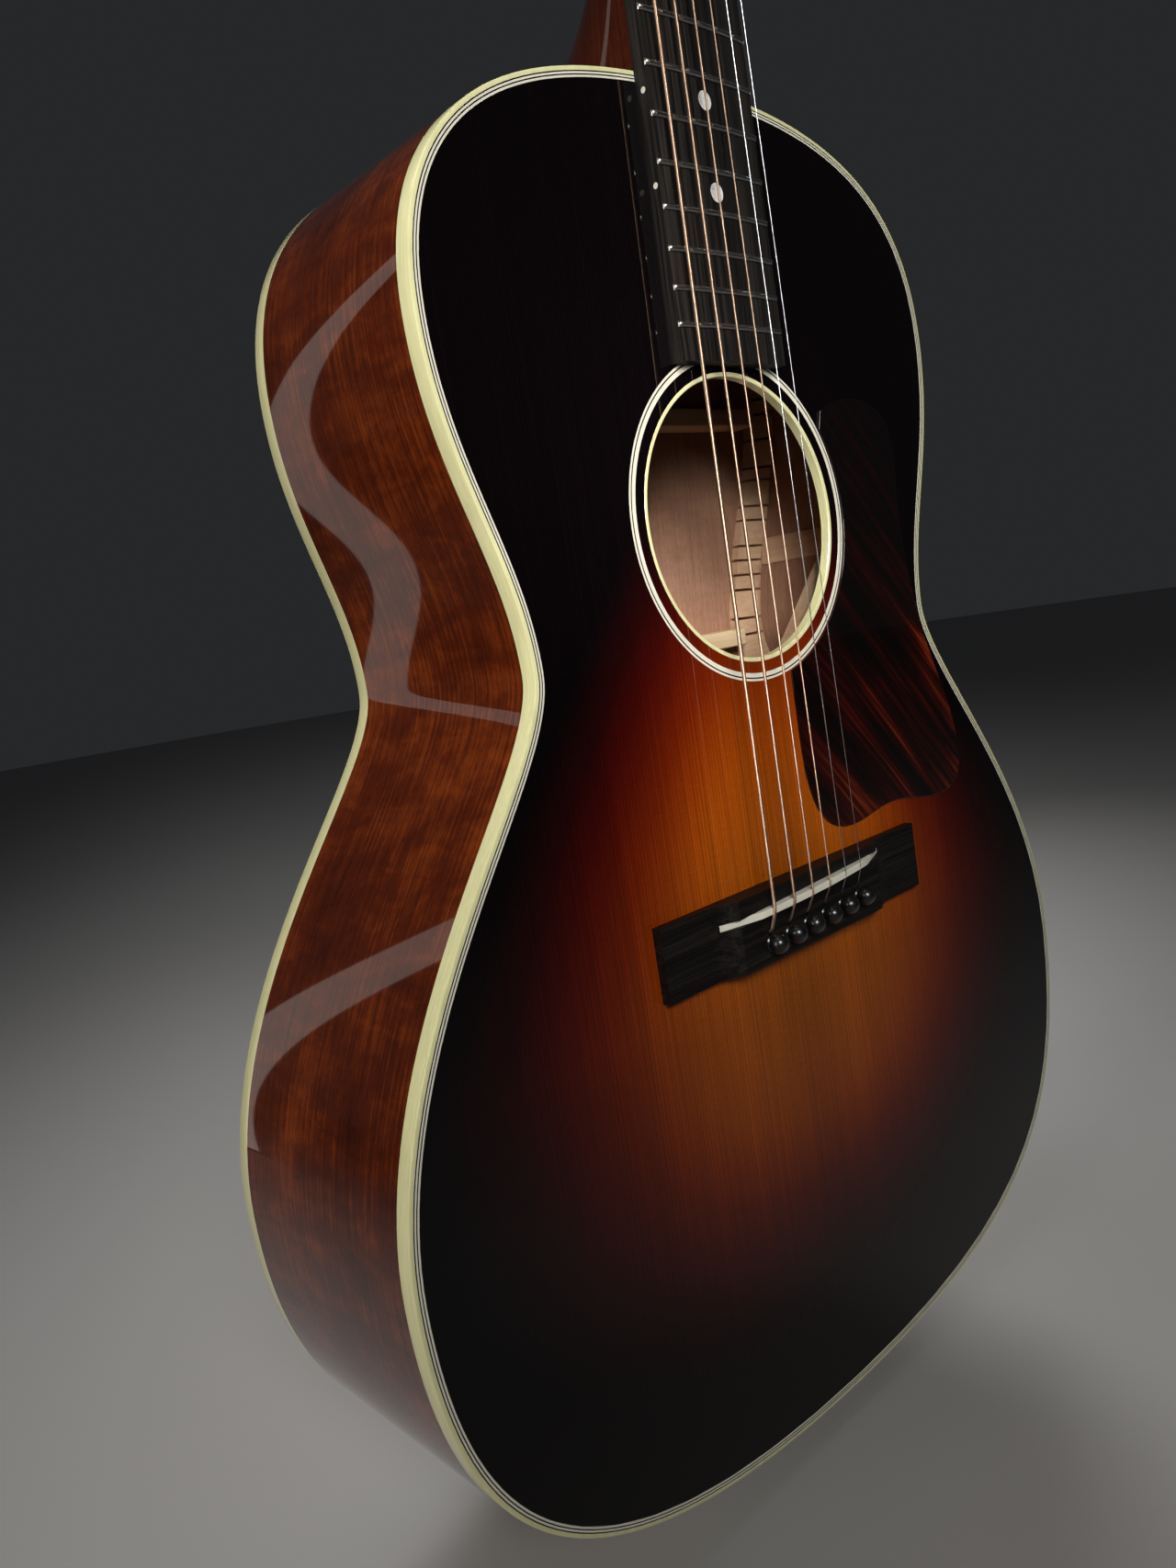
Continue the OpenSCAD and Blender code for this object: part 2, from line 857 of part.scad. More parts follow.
module side_dots() {
    color("#f2efe6") intersection() {
        side_dot_bodies();
        slab(-board_t, 0) board_flat(board_end_z, nut_z);
    }
}

// --- Bridge, saddle and pins ---

module slanted(z) {
    translate([0, face, z]) rotate([0, -saddle_slant, 0]) children();
}

module saddle_slot(slack) {
    slanted(saddle_z) translate([-saddle_l / 2 - slack, -saddle_top - 2, -saddle_t / 2 - slack])
        cube([saddle_l + 2 * slack, saddle_top, saddle_t + 2 * slack]);
}

module bridge() {
    scoop_r = 20;
    drop = bridge_h - wing_h;
    scoop_x = bridge_mid + sqrt(pow(scoop_r, 2) - pow(scoop_r - drop, 2));
    color("#1d1815") difference() {
        slab(-bridge_h, 0) translate([-bridge_l / 2, bridge_z - bridge_w / 2]) square([bridge_l, bridge_w]);
        for (sign = [-1, 1]) {
            at_face() translate([sign * scoop_x, -wing_h - scoop_r, bridge_z])
                cylinder(h = 40, r = scoop_r, center = true, $fn = 120);
            at_face() translate([sign > 0 ? scoop_x : -scoop_x - 60, -wing_h - 20, bridge_z - 20])
                cube([60, 20, 40]);
        }
        saddle_slot(0);
        slab(-bridge_h - 1, 1) pin_holes();
        for (s = [1:6]) string_ramp(s);
    }
}

// The slot that lets a string down into its pin hole.
module string_ramp(s) {
    w = string_r(s) + 0.15;
    at_face() translate([pin_x(s) - w, 0, pin_at(s)]) rotate([90, 0, 90]) linear_extrude(2 * w)
        polygon([[-bridge_h - 1, 0], [-bridge_h - 1, 5.4], [-2.6, 2.6], [-2.6, 0]]);
}

module saddle() {
    base = 2;
    end_x = saddle_l / 2;
    crown_x = bridge_spread / 2 + 5;
    steps = 12;
    color("#f1ecd8") slanted(saddle_z) translate([0, 0, saddle_t / 2]) rotate([180, 0, 0])
        linear_extrude(saddle_t) polygon(concat(
            [[-end_x, base], [-end_x, wing_h + 0.3]],
            [for (i = [0:steps]) let (x = -crown_x + 2 * crown_x * i / steps)
                [x, saddle_top - camber(x)]],
            [[end_x, wing_h + 0.3], [end_x, base]]));
}

module bridge_pin(s) {
    color("#0f0e0d") difference() {
        at_face() translate([pin_x(s), 0, pin_at(s)]) {
            rotate([-90, 0, 0]) translate([0, 0, -bridge_h]) cylinder(h = bridge_h + pin_tip_y, r = pin_r);
            translate([0, -bridge_h - pin_ball_r + 0.3, 0]) intersection() {
                sphere(r = pin_ball_r);
                translate([-5, -5, -5]) cube([10, 8.3, 10]);
            }
        }
        at_face() translate([pin_x(s) - string_r(s) - 0.3, -bridge_h, pin_at(s) + 0.7])
            cube([2 * string_r(s) + 0.6, bridge_h + pin_tip_y + 1, 3]);
    }
}

module bridge_pin_1() {
    bridge_pin(1);
}

module bridge_pin_2() {
    bridge_pin(2);
}

module bridge_pin_3() {
    bridge_pin(3);
}

module bridge_pin_4() {
    bridge_pin(4);
}

module bridge_pin_5() {
    bridge_pin(5);
}

module bridge_pin_6() {
    bridge_pin(6);
}

// --- Strings ---

// Where a string meets its winding on the post, on the side nearer the centre line.
function post_meet(s) =
    let (
        r = post_r + string_ds[s - 1] * 1.5 + 0.02,
        v = -veneer_t - 2.4 - string_ds[s - 1] * wrap_turns / 2
    )
    from_head(post_side(s) * (post_x - r), v, post_u(s));

function string_route(s) =
    let (
        r = string_r(s),
        x = across(s, bridge_spread),
        p = pin_at(s),
        nx = across(s, nut_spread)
    )
    [
        [pin_x(s), top_t + 5.2, p + pin_r + ball_r + 0.2],
        [pin_x(s), top_t + 4.6, p + string_slot_x],
        [pin_x(s), -2.6, p + string_slot_x],
        [pin_x(s), -bridge_h - r, p + 4.6],
        [x, -saddle_top + camber(x) - r - run, saddle_at(x)],
        [nx, -string_over_nut + camber(nx), nut_z + 1],
        post_meet(s)
    ];

// A ring of the string's surface, square to its route. The route never runs along X.
function string_ring(route, i, r) =
    let (
        n = len(route),
        d = route[min(i + 1, n - 1)] - route[max(i - 1, 0)],
        t = d / norm(d),
        b = cross(t, [1, 0, 0]),
        side = b / norm(b),
        up = cross(side, t)
    )
    [for (k = [0:string_sides - 1]) let (a = 360 * k / string_sides)
        route[i] + r * (cos(a) * side + sin(a) * up)];

module string(s) {
    r = string_r(s);
    route = string_route(s);
    at_face() {
        polyhedron(
            points = [for (i = [0:len(route) - 1]) for (p = string_ring(route, i, r)) p],
            faces = tube_faces(len(route), string_sides));
        translate(route[0]) rotate([0, 90, 0]) cylinder(h = 3.4, r = ball_r, center = true);
    }
}

module wound_strings() {
    color("#b5764a") for (s = [3:6]) string(s);
}

module plain_strings() {
    color("#d8d8d8") for (s = [1:2]) string(s);
}

// --- Tuners ---

// Places of the screws on the head, across and up along it.
plate_screws = [for (sign = [-1, 1]) for (i = [0:3])
    [sign * (post_x + (i > 0 ? 5.6 : 3.4)), first_post_u + (i - 0.5) * post_pitch + 1]];
cover_screws = [[0, 40], [-8, 8], [8, 8]];

module holes_at(spots) {
    for (p = spots) translate(p) circle(1);
}

// A plate narrows below its lowest post, because the head does.
module tuner_plate_flat(sign) {
    low = first_post_u - post_pitch / 2 - 4;
    high = low + 3 * post_pitch + 12;
    out = post_x + plate_out;
    polygon([for (p = [
            [post_x - plate_in, low], [out - 4.2, low], [out, low + 10],
            [out, high], [post_x - plate_in, high]])
        [sign * p[0], p[1]]]);
}

module tuner_plates() {
    color("#cfd0cc") difference() {
        union() {
            for (sign = [-1, 1]) head_slab(head_t, head_t + plate_t) tuner_plate_flat(sign);
            for (s = [1:6]) for (sign = [-1, 1])
                head_slab(head_t + plate_t, worm_v + worm_tip_r)
                    translate([
                        post_side(s) * post_x + sign * (ear_in + ear_t / 2) - ear_t / 2,
                        post_u(s) + worm_offset - ear_w / 2])
                        square([ear_t, ear_w]);
        }
        head_slab(head_t - 1, head_t + plate_t + 1) post_holes(post_r + run);
        head_slab(head_t - 1, head_t + plate_t + 1) holes_at(plate_screws);
        for (s = [1:6]) at_worm(s) rotate([0, 90, 0])
            cylinder(h = 40, r = worm_root_r + run, center = true);
    }
}

module tuner_bushings() {
    color("#cfd0cc") {
        head_slab(-veneer_t, 9) difference() {
            post_holes(bushing_r);
            post_holes(post_r + run);
        }
        head_slab(-veneer_t - 1, -veneer_t) difference() {
            post_holes(bushing_r + 1.4);
            post_holes(post_r + run);
        }
    }
}

module small_screws() {
    color("#cfd0cc") {
        for (p = plate_screws) at_head() translate([p[0], head_t + plate_t, p[1]]) screw(9);
        for (p = cover_screws)
            at_head() translate([p[0], -veneer_t - cover_t, p[1]]) rotate([180, 0, 0]) screw(6);
    }
}

module at_worm(s) {
    at_head() translate([post_side(s) * post_x, worm_v, post_u(s) + worm_offset]) children();
}

// The worm's thread: a trapezoid carried round its shaft, with a crest facing the wheel at x = 0.
function thread_ring(k) =
    let (a = 360 * k / worm_steps - 90, x = (k / worm_steps - worm_turns / 2) * worm_pitch)
    [for (q = [[worm_root_r - 0.2, -0.5], [worm_tip_r, -0.2], [worm_tip_r, 0.2], [worm_root_r - 0.2, 0.5]])
        [x + q[1], q[0] * cos(a), q[0] * sin(a)]];

module worm_thread() {
    n = worm_turns * worm_steps;
    polyhedron(
        points = [for (k = [0:n]) for (p = thread_ring(k)) p],
        faces = tube_faces(n + 1, 4));
}

// The key: the worm on its shaft, and the button that turns it.
module tuner_key(s) {
    side = post_side(s);
    inner = ear_in + ear_t + 0.6;
    button_x = head_top_x - post_x + button_gap;
    color("#e8e0c0") at_worm(s) {
        worm_thread();
        rotate([0, side * 90, 0]) translate([0, 0, -inner])
            cylinder(h = inner + button_x + button_r, r = worm_root_r);
        translate([side * (button_x + button_r), 0, 0]) rotate([90, 0, 0]) intersection() {
            cylinder(h = button_t, r = button_r, center = true);
            sphere(r = button_r + 0.4);
        }
        rotate([0, side * 90, 0]) translate([0, 0, button_x - 1.6]) cylinder(h = 4, r = 3);
    }
}

module tuner_key_1() {
    tuner_key(1);
}

module tuner_key_2() {
    tuner_key(2);
}

module tuner_key_3() {
    tuner_key(3);
}

module tuner_key_4() {
    tuner_key(4);
}

module tuner_key_5() {
    tuner_key(5);
}

module tuner_key_6() {
    tuner_key(6);
}

// The wheel has a gap, not a tooth, where the worm's crest faces it.
module wheel_flat() {
    step = 360 / wheel_teeth;
    polygon([for (i = [0:wheel_teeth - 1]) let (a = 90 + (i + 0.5) * step) for (q = [
            [wheel_root_r, -6.6], [wheel_tip_r, -2.3], [wheel_tip_r, 2.3], [wheel_root_r, 6.6]])
        q[0] * [cos(a + q[1]), sin(a + q[1])]]);
}

module tuner_post(s) {
    d = string_ds[s - 1];
    top = veneer_t + 1 + post_up;
    color("#cfd0cc") at_head() translate([post_side(s) * post_x, 0, post_u(s)]) rotate([90, 0, 0]) {
        difference() {
            translate([0, 0, -worm_v - wheel_t / 2]) cylinder(h = worm_v + wheel_t / 2 + top, r = post_r);
            translate([0, 0, top - 4]) rotate([0, 90, 30]) cylinder(h = 20, r = 0.8, center = true, $fn = 24);
        }
        translate([0, 0, veneer_t + 1.4]) cylinder(h = wrap_turns * d, r = post_r + d);
        translate([0, 0, -worm_v - wheel_t / 2]) linear_extrude(wheel_t) wheel_flat();
        translate([0, 0, -worm_v - wheel_t / 2 - 1]) cylinder(h = 1, r = 2.2, $fn = 32);
    }
}

module tuner_post_1() {
    tuner_post(1);
}

module tuner_post_2() {
    tuner_post(2);
}

module tuner_post_3() {
    tuner_post(3);
}

module tuner_post_4() {
    tuner_post(4);
}

module tuner_post_5() {
    tuner_post(5);
}

module tuner_post_6() {
    tuner_post(6);
}

soundboard();
back_plate();
rim_bass();
rim_treble();
top_binding();
back_binding();
top_purfling();
top_lining();
back_lining();
rosette();
soundhole_binding();
pickguard();
x_brace_a();
x_brace_b();
tone_bars();
finger_braces();
transverse_brace();
bridge_plate();
back_braces();
back_strip();
side_strips();
neck_block();
tail_block();
end_pin();
neck();
heel_cap();
truss_rod();
truss_rod_nut();
truss_rod_cover();
head_veneer();
nut();
fingerboard();
frets();
inlay_dots();
side_dots();
bridge();
saddle();
bridge_pin_1();
bridge_pin_2();
bridge_pin_3();
bridge_pin_4();
bridge_pin_5();
bridge_pin_6();
wound_strings();
plain_strings();
tuner_plates();
tuner_bushings();
small_screws();
tuner_key_1();
tuner_key_2();
tuner_key_3();
tuner_key_4();
tuner_key_5();
tuner_key_6();
tuner_post_1();
tuner_post_2();
tuner_post_3();
tuner_post_4();
tuner_post_5();
tuner_post_6();
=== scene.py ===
# %% [markdown]
# # A small flat-top guitar
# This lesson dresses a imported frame: plates, neck, pins and screws are already there in metres, on
# the bodies that move, and every piece made below is put where the frame says it belongs.
# +Z runs up the neck, the soundboard faces -Y and +X is the treble side.

# %% Load the frame
import math
import bmesh
import bpy
from mathutils import Matrix, Vector


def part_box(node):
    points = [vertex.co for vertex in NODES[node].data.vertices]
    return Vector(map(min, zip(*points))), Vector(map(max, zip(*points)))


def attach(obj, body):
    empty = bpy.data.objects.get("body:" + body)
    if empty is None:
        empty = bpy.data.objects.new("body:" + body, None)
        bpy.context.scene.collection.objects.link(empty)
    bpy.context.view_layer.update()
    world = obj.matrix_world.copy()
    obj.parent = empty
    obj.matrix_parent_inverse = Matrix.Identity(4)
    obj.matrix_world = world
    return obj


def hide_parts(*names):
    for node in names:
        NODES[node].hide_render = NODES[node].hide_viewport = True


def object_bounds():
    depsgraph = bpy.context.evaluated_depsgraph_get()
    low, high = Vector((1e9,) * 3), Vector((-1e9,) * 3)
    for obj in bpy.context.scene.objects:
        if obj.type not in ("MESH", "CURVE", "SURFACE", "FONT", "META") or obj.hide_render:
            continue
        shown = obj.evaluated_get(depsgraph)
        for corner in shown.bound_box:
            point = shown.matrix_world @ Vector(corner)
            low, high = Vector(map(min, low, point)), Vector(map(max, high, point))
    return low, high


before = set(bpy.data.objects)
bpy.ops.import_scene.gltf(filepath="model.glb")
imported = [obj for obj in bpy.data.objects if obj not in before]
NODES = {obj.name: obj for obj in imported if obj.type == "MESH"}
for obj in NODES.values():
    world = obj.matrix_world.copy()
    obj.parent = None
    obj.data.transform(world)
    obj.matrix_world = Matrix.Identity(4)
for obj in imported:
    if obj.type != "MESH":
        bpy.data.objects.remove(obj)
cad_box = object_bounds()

MM = 0.001
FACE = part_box("soundboard")[0][1] / MM
NUT_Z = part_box("fingerboard")[1][2] / MM
BODY_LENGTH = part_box("top_binding")[1][2] / MM
print("soundboard's face at", round(FACE, 2), "mm, nut at", round(NUT_Z, 2), "mm")

# %% [markdown]
# ## Shader maths
# A finish is a tree of nodes. Writing it as sums and products is far easier to read than a list of
# links, so a small class wraps a socket and turns each operator into a Math node. Every other node
# comes from one method of the finish.

# %% A socket that can be added and multiplied
class Signal:
    def __init__(self, finish, socket):
        self.finish, self.socket = finish, socket

    def _math(self, operation, a, b=None):
        inputs = {0: a} if b is None else {0: a, 1: b}
        return self.finish.node("ShaderNodeMath", {"operation": operation}, inputs)

    def __abs__(self):
        return self._math("ABSOLUTE", self)

    def sine(self):
        return self._math("SINE", self)

    def at_least(self, other):
        return self._math("MAXIMUM", self, other)


for word, operation in (("add", "ADD"), ("sub", "SUBTRACT"), ("mul", "MULTIPLY"), ("truediv", "DIVIDE"),
                        ("pow", "POWER")):
    setattr(Signal, f"__{word}__", lambda self, other, op=operation: self._math(op, self, other))
    setattr(Signal, f"__r{word}__", lambda self, other, op=operation: self._math(op, other, self))
print("a socket now takes +, -, *, /, ** and abs()")


# %% A finish: one material and the nodes that feed it
class Finish:
    def __init__(self, name, **constants):
        self.material = bpy.data.materials.new(name)
        self.material.use_nodes = True
        self.tree = self.material.node_tree
        self.shader = self.tree.nodes["Principled BSDF"]
        for socket, value in constants.items():
            label = socket.replace("_", " ").title().replace("Ior", "IOR")
            self.shader.inputs[label].default_value = value

    def node(self, kind, settings=None, inputs=None, output=0):
        made = self.tree.nodes.new(kind)
        for key, value in (settings or {}).items():
            if key == "stops":
                ramp = made.color_ramp.elements
                while len(ramp) < len(value):
                    ramp.new(0.5)
                for element, (place, colour) in zip(ramp, value):
                    element.position = place
                    element.color = (*colour, 1)
            else:
                setattr(made, key, value)
        for key, value in (inputs or {}).items():
            if isinstance(value, Signal):
                self.tree.links.new(value.socket, made.inputs[key])
            else:
                made.inputs[key].default_value = value
        return Signal(self, made.outputs[output])

    def feed(self, socket, signal):
        self.tree.links.new(signal.socket, self.shader.inputs[socket])

    def place(self, output="Object"):
        return self.node("ShaderNodeTexCoord", output=output)

    def parts(self, vector):
        split = self.node("ShaderNodeSeparateXYZ", inputs={0: vector})
        return [Signal(self, socket) for socket in split.socket.node.outputs]

    def stretch(self, vector, scale, turn=(0, 0, 0), shift=(0, 0, 0)):
        inputs = {"Vector": vector, "Scale": scale, "Rotation": turn, "Location": shift}
        return self.node("ShaderNodeMapping", inputs=inputs)

    def noise(self, vector, scale=1.0, detail=2.0, rough=0.5, distortion=0.0):
        inputs = {"Vector": vector, "Scale": scale, "Detail": detail, "Roughness": rough,
                  "Distortion": distortion}
        return self.node("ShaderNodeTexNoise", inputs=inputs, output="Fac")

    def ramp(self, signal, *stops):
        return self.node("ShaderNodeValToRGB", {"stops": stops}, {"Fac": signal})

    def level(self, signal, low, high, to_low=0.0, to_high=1.0):
        inputs = {"Value": signal, "From Min": low, "From Max": high, "To Min": to_low,
                  "To Max": to_high}
        return self.node("ShaderNodeMapRange", inputs=inputs)

    def mix(self, share, a, b, how="MIX"):
        settings = {"data_type": "RGBA", "blend_type": how}
        inputs = {0: share, 6: self.paint(a), 7: self.paint(b)}
        return self.node("ShaderNodeMix", settings, inputs, output=2)

    def paint(self, colour):
        return colour if isinstance(colour, Signal) else (*colour, 1)

    def shade(self, colour, signal):
        grey = self.node("ShaderNodeCombineColor", inputs={0: signal, 1: signal, 2: signal})
        return self.mix(1.0, colour, grey, "MULTIPLY")

    def bump(self, height, distance, strength=1.0):
        inputs = {"Height": height, "Distance": distance, "Strength": strength}
        self.feed("Normal", self.node("ShaderNodeBump", inputs=inputs))


print("shader maths ready")

# %% [markdown]
# ## The sunburst
# The soundboard is spruce: straight, close grain with faint silk across it, sprayed from amber in the
# middle through red to black at the edge, under a thick coat of clear lacquer. A round gradient would
# do for the spray, but the amber patch is a pear, so its distance is worked out across and along. Above
# the bridge the colour is also painted lighter and below it darker: painted light from the key lamp.

# %% Spruce, sprayed and lacquered
LACQUER = dict(coat_weight=1.0, coat_roughness=0.025, coat_ior=1.5)
TOP_LACQUER = {**LACQUER, "coat_ior": 1.3}
# the amber patch: its middle's height, half its width, and its reach up and down, in mm
AMBER_Z, AMBER_HALF, AMBER_UP, AMBER_DOWN = 178, 146, 172, 124
ROUNDNESS, RING_PITCH = 2.3, 1.45


def sunburst():
    f = Finish("sunburst spruce", roughness=0.5, specular_ior_level=0.05, **TOP_LACQUER)
    here = f.place()
    x, _, z = f.parts(here)
    x, z = x / MM, z / MM
    drift = f.noise(f.stretch(here, (9, 9, 9)), detail=1.0) - 0.5
    above = (z - AMBER_Z).at_least(0.0)
    below = (AMBER_Z - z).at_least(0.0)
    wide = AMBER_HALF - above * 0.46
    across = abs(x) / wide.at_least(20.0)
    along = above / AMBER_UP + below / AMBER_DOWN
    reach = (across ** ROUNDNESS + along ** ROUNDNESS) ** (1 / ROUNDNESS) + drift * 0.05
    spray = f.ramp(
        reach / 1.2,
        (0.0, (0.42, 0.098, 0.0035)), (0.25, (0.38, 0.082, 0.003)), (0.40, (0.31, 0.055, 0.0015)),
        (0.50, (0.21, 0.027, 0.0008)), (0.58, (0.13, 0.011, 0.0006)), (0.67, (0.070, 0.0038, 0.0005)),
        (0.75, (0.036, 0.0013, 0.0005)), (0.84, (0.013, 0.0006, 0.0005)), (0.95, (0.0034, 0.0005, 0.0008)),
        (1.0, (0.0014, 0.0005, 0.0009)))
    # painted light: the spray is darkened below the bridge and lightened above it, where the key lamp's pool
    # falls
    painted_light_falloff = f.level(z, 165, 235, 0.74, 1.25)
    wander = f.noise(f.stretch(here, (55, 1, 1.6)), detail=3.0) - 0.5
    rings = ((x + wander * 7.0) * (2 * math.pi / RING_PITCH)).sine() * 0.5 + 0.5
    streak = f.noise(f.stretch(here, (900, 1, 7)), detail=3.0, rough=0.6)
    silk = f.noise(f.stretch(here, (160, 1, 1300)), detail=2.0, rough=0.7)
    broad = f.noise(f.stretch(here, (60, 1, 0.8)), detail=2.0)
    seam = f.level(abs(x), 0.0, 26.0, 0.80, 1.0)
    tone = (1.1 - rings ** 4.0 * 0.34) * f.level(streak, 0.3, 0.7, 0.74, 1.22) * painted_light_falloff
    tone = tone * f.level(silk, 0.3, 0.7, 0.90, 1.08)
    tone = tone * f.level(broad, 0.3, 0.7, 0.88, 1.08) * seam
    f.feed("Base Color", f.shade(spray, tone))
    f.bump(streak, 0.00002, 0.2)
    return f.material


SUNBURST = sunburst()
print("sunburst:", len(SUNBURST.node_tree.nodes), "nodes")

# %% [markdown]
# ## Mahogany
# The back, sides and neck are mahogany. Its pores are short dark strokes along the grain, and light
# plays in ripples across it. On the sides the grain follows the bent wood, so the pattern reads a UV
# map whose first axis runs round the body in metres; on the back and neck it runs straight up.

# %% One recipe for every mahogany surface
def mahogany(name, light, mid, dark, bent=False, lacquered=True, figure=1.0, across=(1, 1)):
    gloss = LACQUER if lacquered else {}
    rough = 0.36 if lacquered else 0.62
    f = Finish(name, roughness=rough, specular_ior_level=0.06 if lacquered else 0.2, **gloss)
    here = f.place("UV" if bent else "Object")
    if bent:
        along, side, _ = f.parts(here)
    else:
        a, b, along = f.parts(here)
        side = a * across[0] + b * across[1]
    flat = f.node("ShaderNodeCombineXYZ", inputs={0: along, 1: side, 2: 0.0})
    ripple = f.noise(f.stretch(flat, (110, 40, 1), turn=(0, 0, 0.7)), detail=3.5, rough=0.6, distortion=0.5)
    patch = f.noise(f.stretch(flat, (8, 22, 1)), detail=3.0, rough=0.6, distortion=0.5)
    ribbon = f.noise(f.stretch(flat, (22, 700, 1)), detail=3.5, rough=0.68)
    pores = f.noise(f.stretch(flat, (260, 2600, 1)), detail=2.0, rough=0.6)
    tone = f.level(ripple, 0.3, 0.7, 0.5 - 0.4 * figure, 0.5 + 0.4 * figure) * 0.27
    tone = tone + f.level(ribbon, 0.25, 0.75) * 0.38 + f.level(patch, 0.3, 0.7, 0.08, 0.92) * 0.35
    wood = f.ramp(tone, (0.2, dark), (0.5, mid), (0.82, light))
    f.feed("Base Color", f.shade(wood, f.level(pores, 0.36, 0.5, 0.6 if lacquered else 0.8, 1.05)))
    f.bump(pores, 0.00004, 0.35 if lacquered else 0.8)
    return f.material


SIDES = mahogany("side mahogany", (0.25, 0.046, 0.005), (0.084, 0.0115, 0.0014),
                 (0.022, 0.0026, 0.0006), bent=True)
BACK = mahogany("back mahogany", (0.34, 0.056, 0.008), (0.15, 0.019, 0.0035),
                (0.045, 0.006, 0.0015), across=(1, 0))
NECK = mahogany("neck mahogany", (0.085, 0.015, 0.004), (0.045, 0.0075, 0.0022),
                (0.018, 0.003, 0.001), figure=0.4)
RAW = mahogany("bare mahogany", (0.52, 0.30, 0.20), (0.40, 0.22, 0.145), (0.27, 0.14, 0.09),
               lacquered=False, figure=0.7, across=(1, 0))
RAW_SIDES = mahogany("bare side mahogany", (0.50, 0.29, 0.19), (0.38, 0.21, 0.14), (0.26, 0.14, 0.09),
                     bent=True, lacquered=False, figure=0.7)
print("mahogany: five finishes")

# %% [markdown]
# ## Plastics, bone and ebony
# Cream plastic carries faint layers like real ivory. Ebony is nearly black with grey streaks and open
# pores. Bone is warm white and a little cloudy. Tortoise plastic is poured in streaks of amber and red.

# %% Cream, white, black, bone, pearl
def cream(name, colour, streaks=0.06, rough=0.22):
    f = Finish(name, roughness=rough, coat_weight=0.8, coat_roughness=0.04)
    here = f.place()
    layers = f.noise(f.stretch(here, (420, 1100, 60)), detail=2.0)
    cloud = f.noise(here, scale=45.0, detail=2.0)
    tone = f.level(layers, 0.3, 0.7, 1 - streaks, 1 + streaks) * f.level(cloud, 0.3, 0.7, 0.95, 1.03)
    f.feed("Base Color", f.shade(colour, tone))
    return f.material


def pearl():
    f = Finish("pearl", roughness=0.16, coat_weight=1.0, coat_roughness=0.03, specular_ior_level=0.6)
    here = f.place()
    cells = f.noise(here, scale=420.0, detail=3.0, distortion=2.2)
    f.feed("Base Color", f.ramp(cells, (0.3, (0.55, 0.60, 0.64)), (0.45, (0.82, 0.84, 0.80)),
                                (0.58, (0.90, 0.84, 0.82)), (0.72, (0.60, 0.72, 0.70))))
    f.feed("Roughness", f.level(cells, 0.3, 0.7, 0.1, 0.3))
    return f.material


IVOROID = cream("ivoroid", (0.78, 0.755, 0.42))
WHITE_LINE = cream("white line", (0.82, 0.79, 0.66), streaks=0.02)
BONE = cream("bone", (0.80, 0.775, 0.66), streaks=0.03, rough=0.3)
BUTTON = cream("cream button", (0.78, 0.70, 0.47), streaks=0.05)
PEARL = pearl()
print("plastics, bone and pearl: five finishes")


# %% Ebony, black lacquer and tortoise
def ebony(name, base, streak, along_z=True):
    rough = 0.46
    f = Finish(name, roughness=rough, specular_ior_level=0.18)
    here = f.place()
    scale = (700, 700, 9) if along_z else (9, 700, 700)
    lines = f.noise(f.stretch(here, scale), detail=3.0, rough=0.65)
    broad = f.noise(f.stretch(here, tuple(s / 5 for s in scale)), detail=2.0)
    pores = f.noise(f.stretch(here, tuple(s * 4 for s in scale)), detail=1.0)
    tone = f.level(lines, 0.42, 0.78) * f.level(broad, 0.35, 0.7, 0.25, 1.0)
    f.feed("Base Color", f.shade(f.mix(tone, base, streak), f.level(pores, 0.34, 0.46, 0.5, 1.0)))
    f.feed("Roughness", f.level(lines, 0.3, 0.7, rough - 0.05, rough + 0.12))
    f.bump(pores, 0.00005, 0.5)
    return f.material


def black(name, rough=0.08):
    colour = (0.004, 0.004, 0.0045)
    f = Finish(name, roughness=rough, coat_weight=0.6, coat_roughness=rough * 0.6)
    haze = f.noise(f.place(), scale=600.0, detail=2.0)
    f.feed("Base Color", f.shade(colour, f.level(haze, 0.3, 0.7, 0.8, 1.25)))
    f.feed("Roughness", f.level(haze, 0.3, 0.7, rough, rough + 0.05))
    return f.material


def tortoise():
    f = Finish("tortoise", roughness=0.3, specular_ior_level=0.1, **LACQUER)
    here = f.place()
    slant = f.stretch(here, (1, 1, 1), turn=(0, math.radians(42), 0))
    sweep = f.noise(f.stretch(slant, (150, 1, 9), shift=(0.7, 0, 0)), detail=2.5, rough=0.55,
                    distortion=0.35)
    fine = f.noise(f.stretch(slant, (520, 1, 14)), detail=2.0, rough=0.6)
    cloud = f.noise(here, scale=16.0, detail=1.5)
    _, _, z = f.parts(here)
    low = f.level(z, 0.34, 0.27, 0.72, 1.06)
    tone = (sweep * 0.72 + fine * 0.28) * f.level(cloud, 0.3, 0.7, 0.86, 1.12) * low
    f.feed("Base Color", f.ramp(tone, (0.38, (0.002, 0.0008, 0.0008)), (0.50, (0.009, 0.001, 0.0007)),
                                (0.58, (0.034, 0.0026, 0.0009)), (0.68, (0.20, 0.023, 0.003)),
                                (0.78, (0.50, 0.12, 0.016))))
    return f.material


EBONY = ebony("ebony board", (0.007, 0.0062, 0.006), (0.048, 0.040, 0.035))
EBONY_BRIDGE = ebony("ebony bridge", (0.0045, 0.0036, 0.0034), (0.026, 0.020, 0.017), along_z=False)
BLACK = black("black lacquer")
BLACK_PIN = black("ebony pin", rough=0.3)
BLACK_LINE = black("black line", rough=0.2)
TORTOISE = tortoise()
print("ebony, black and tortoise: six finishes")


# %% [markdown]
# ## Metals and bare wood
# The frets and tuners are nickel, the machine wheels brass. Fine scratches, as a change of roughness,
# keep them from looking like mirrors. The thick strings are wrapped in bronze wire, whose turns are a
# ripple along the string. Inside, the braces are bare spruce and the linings a pale brown wood.

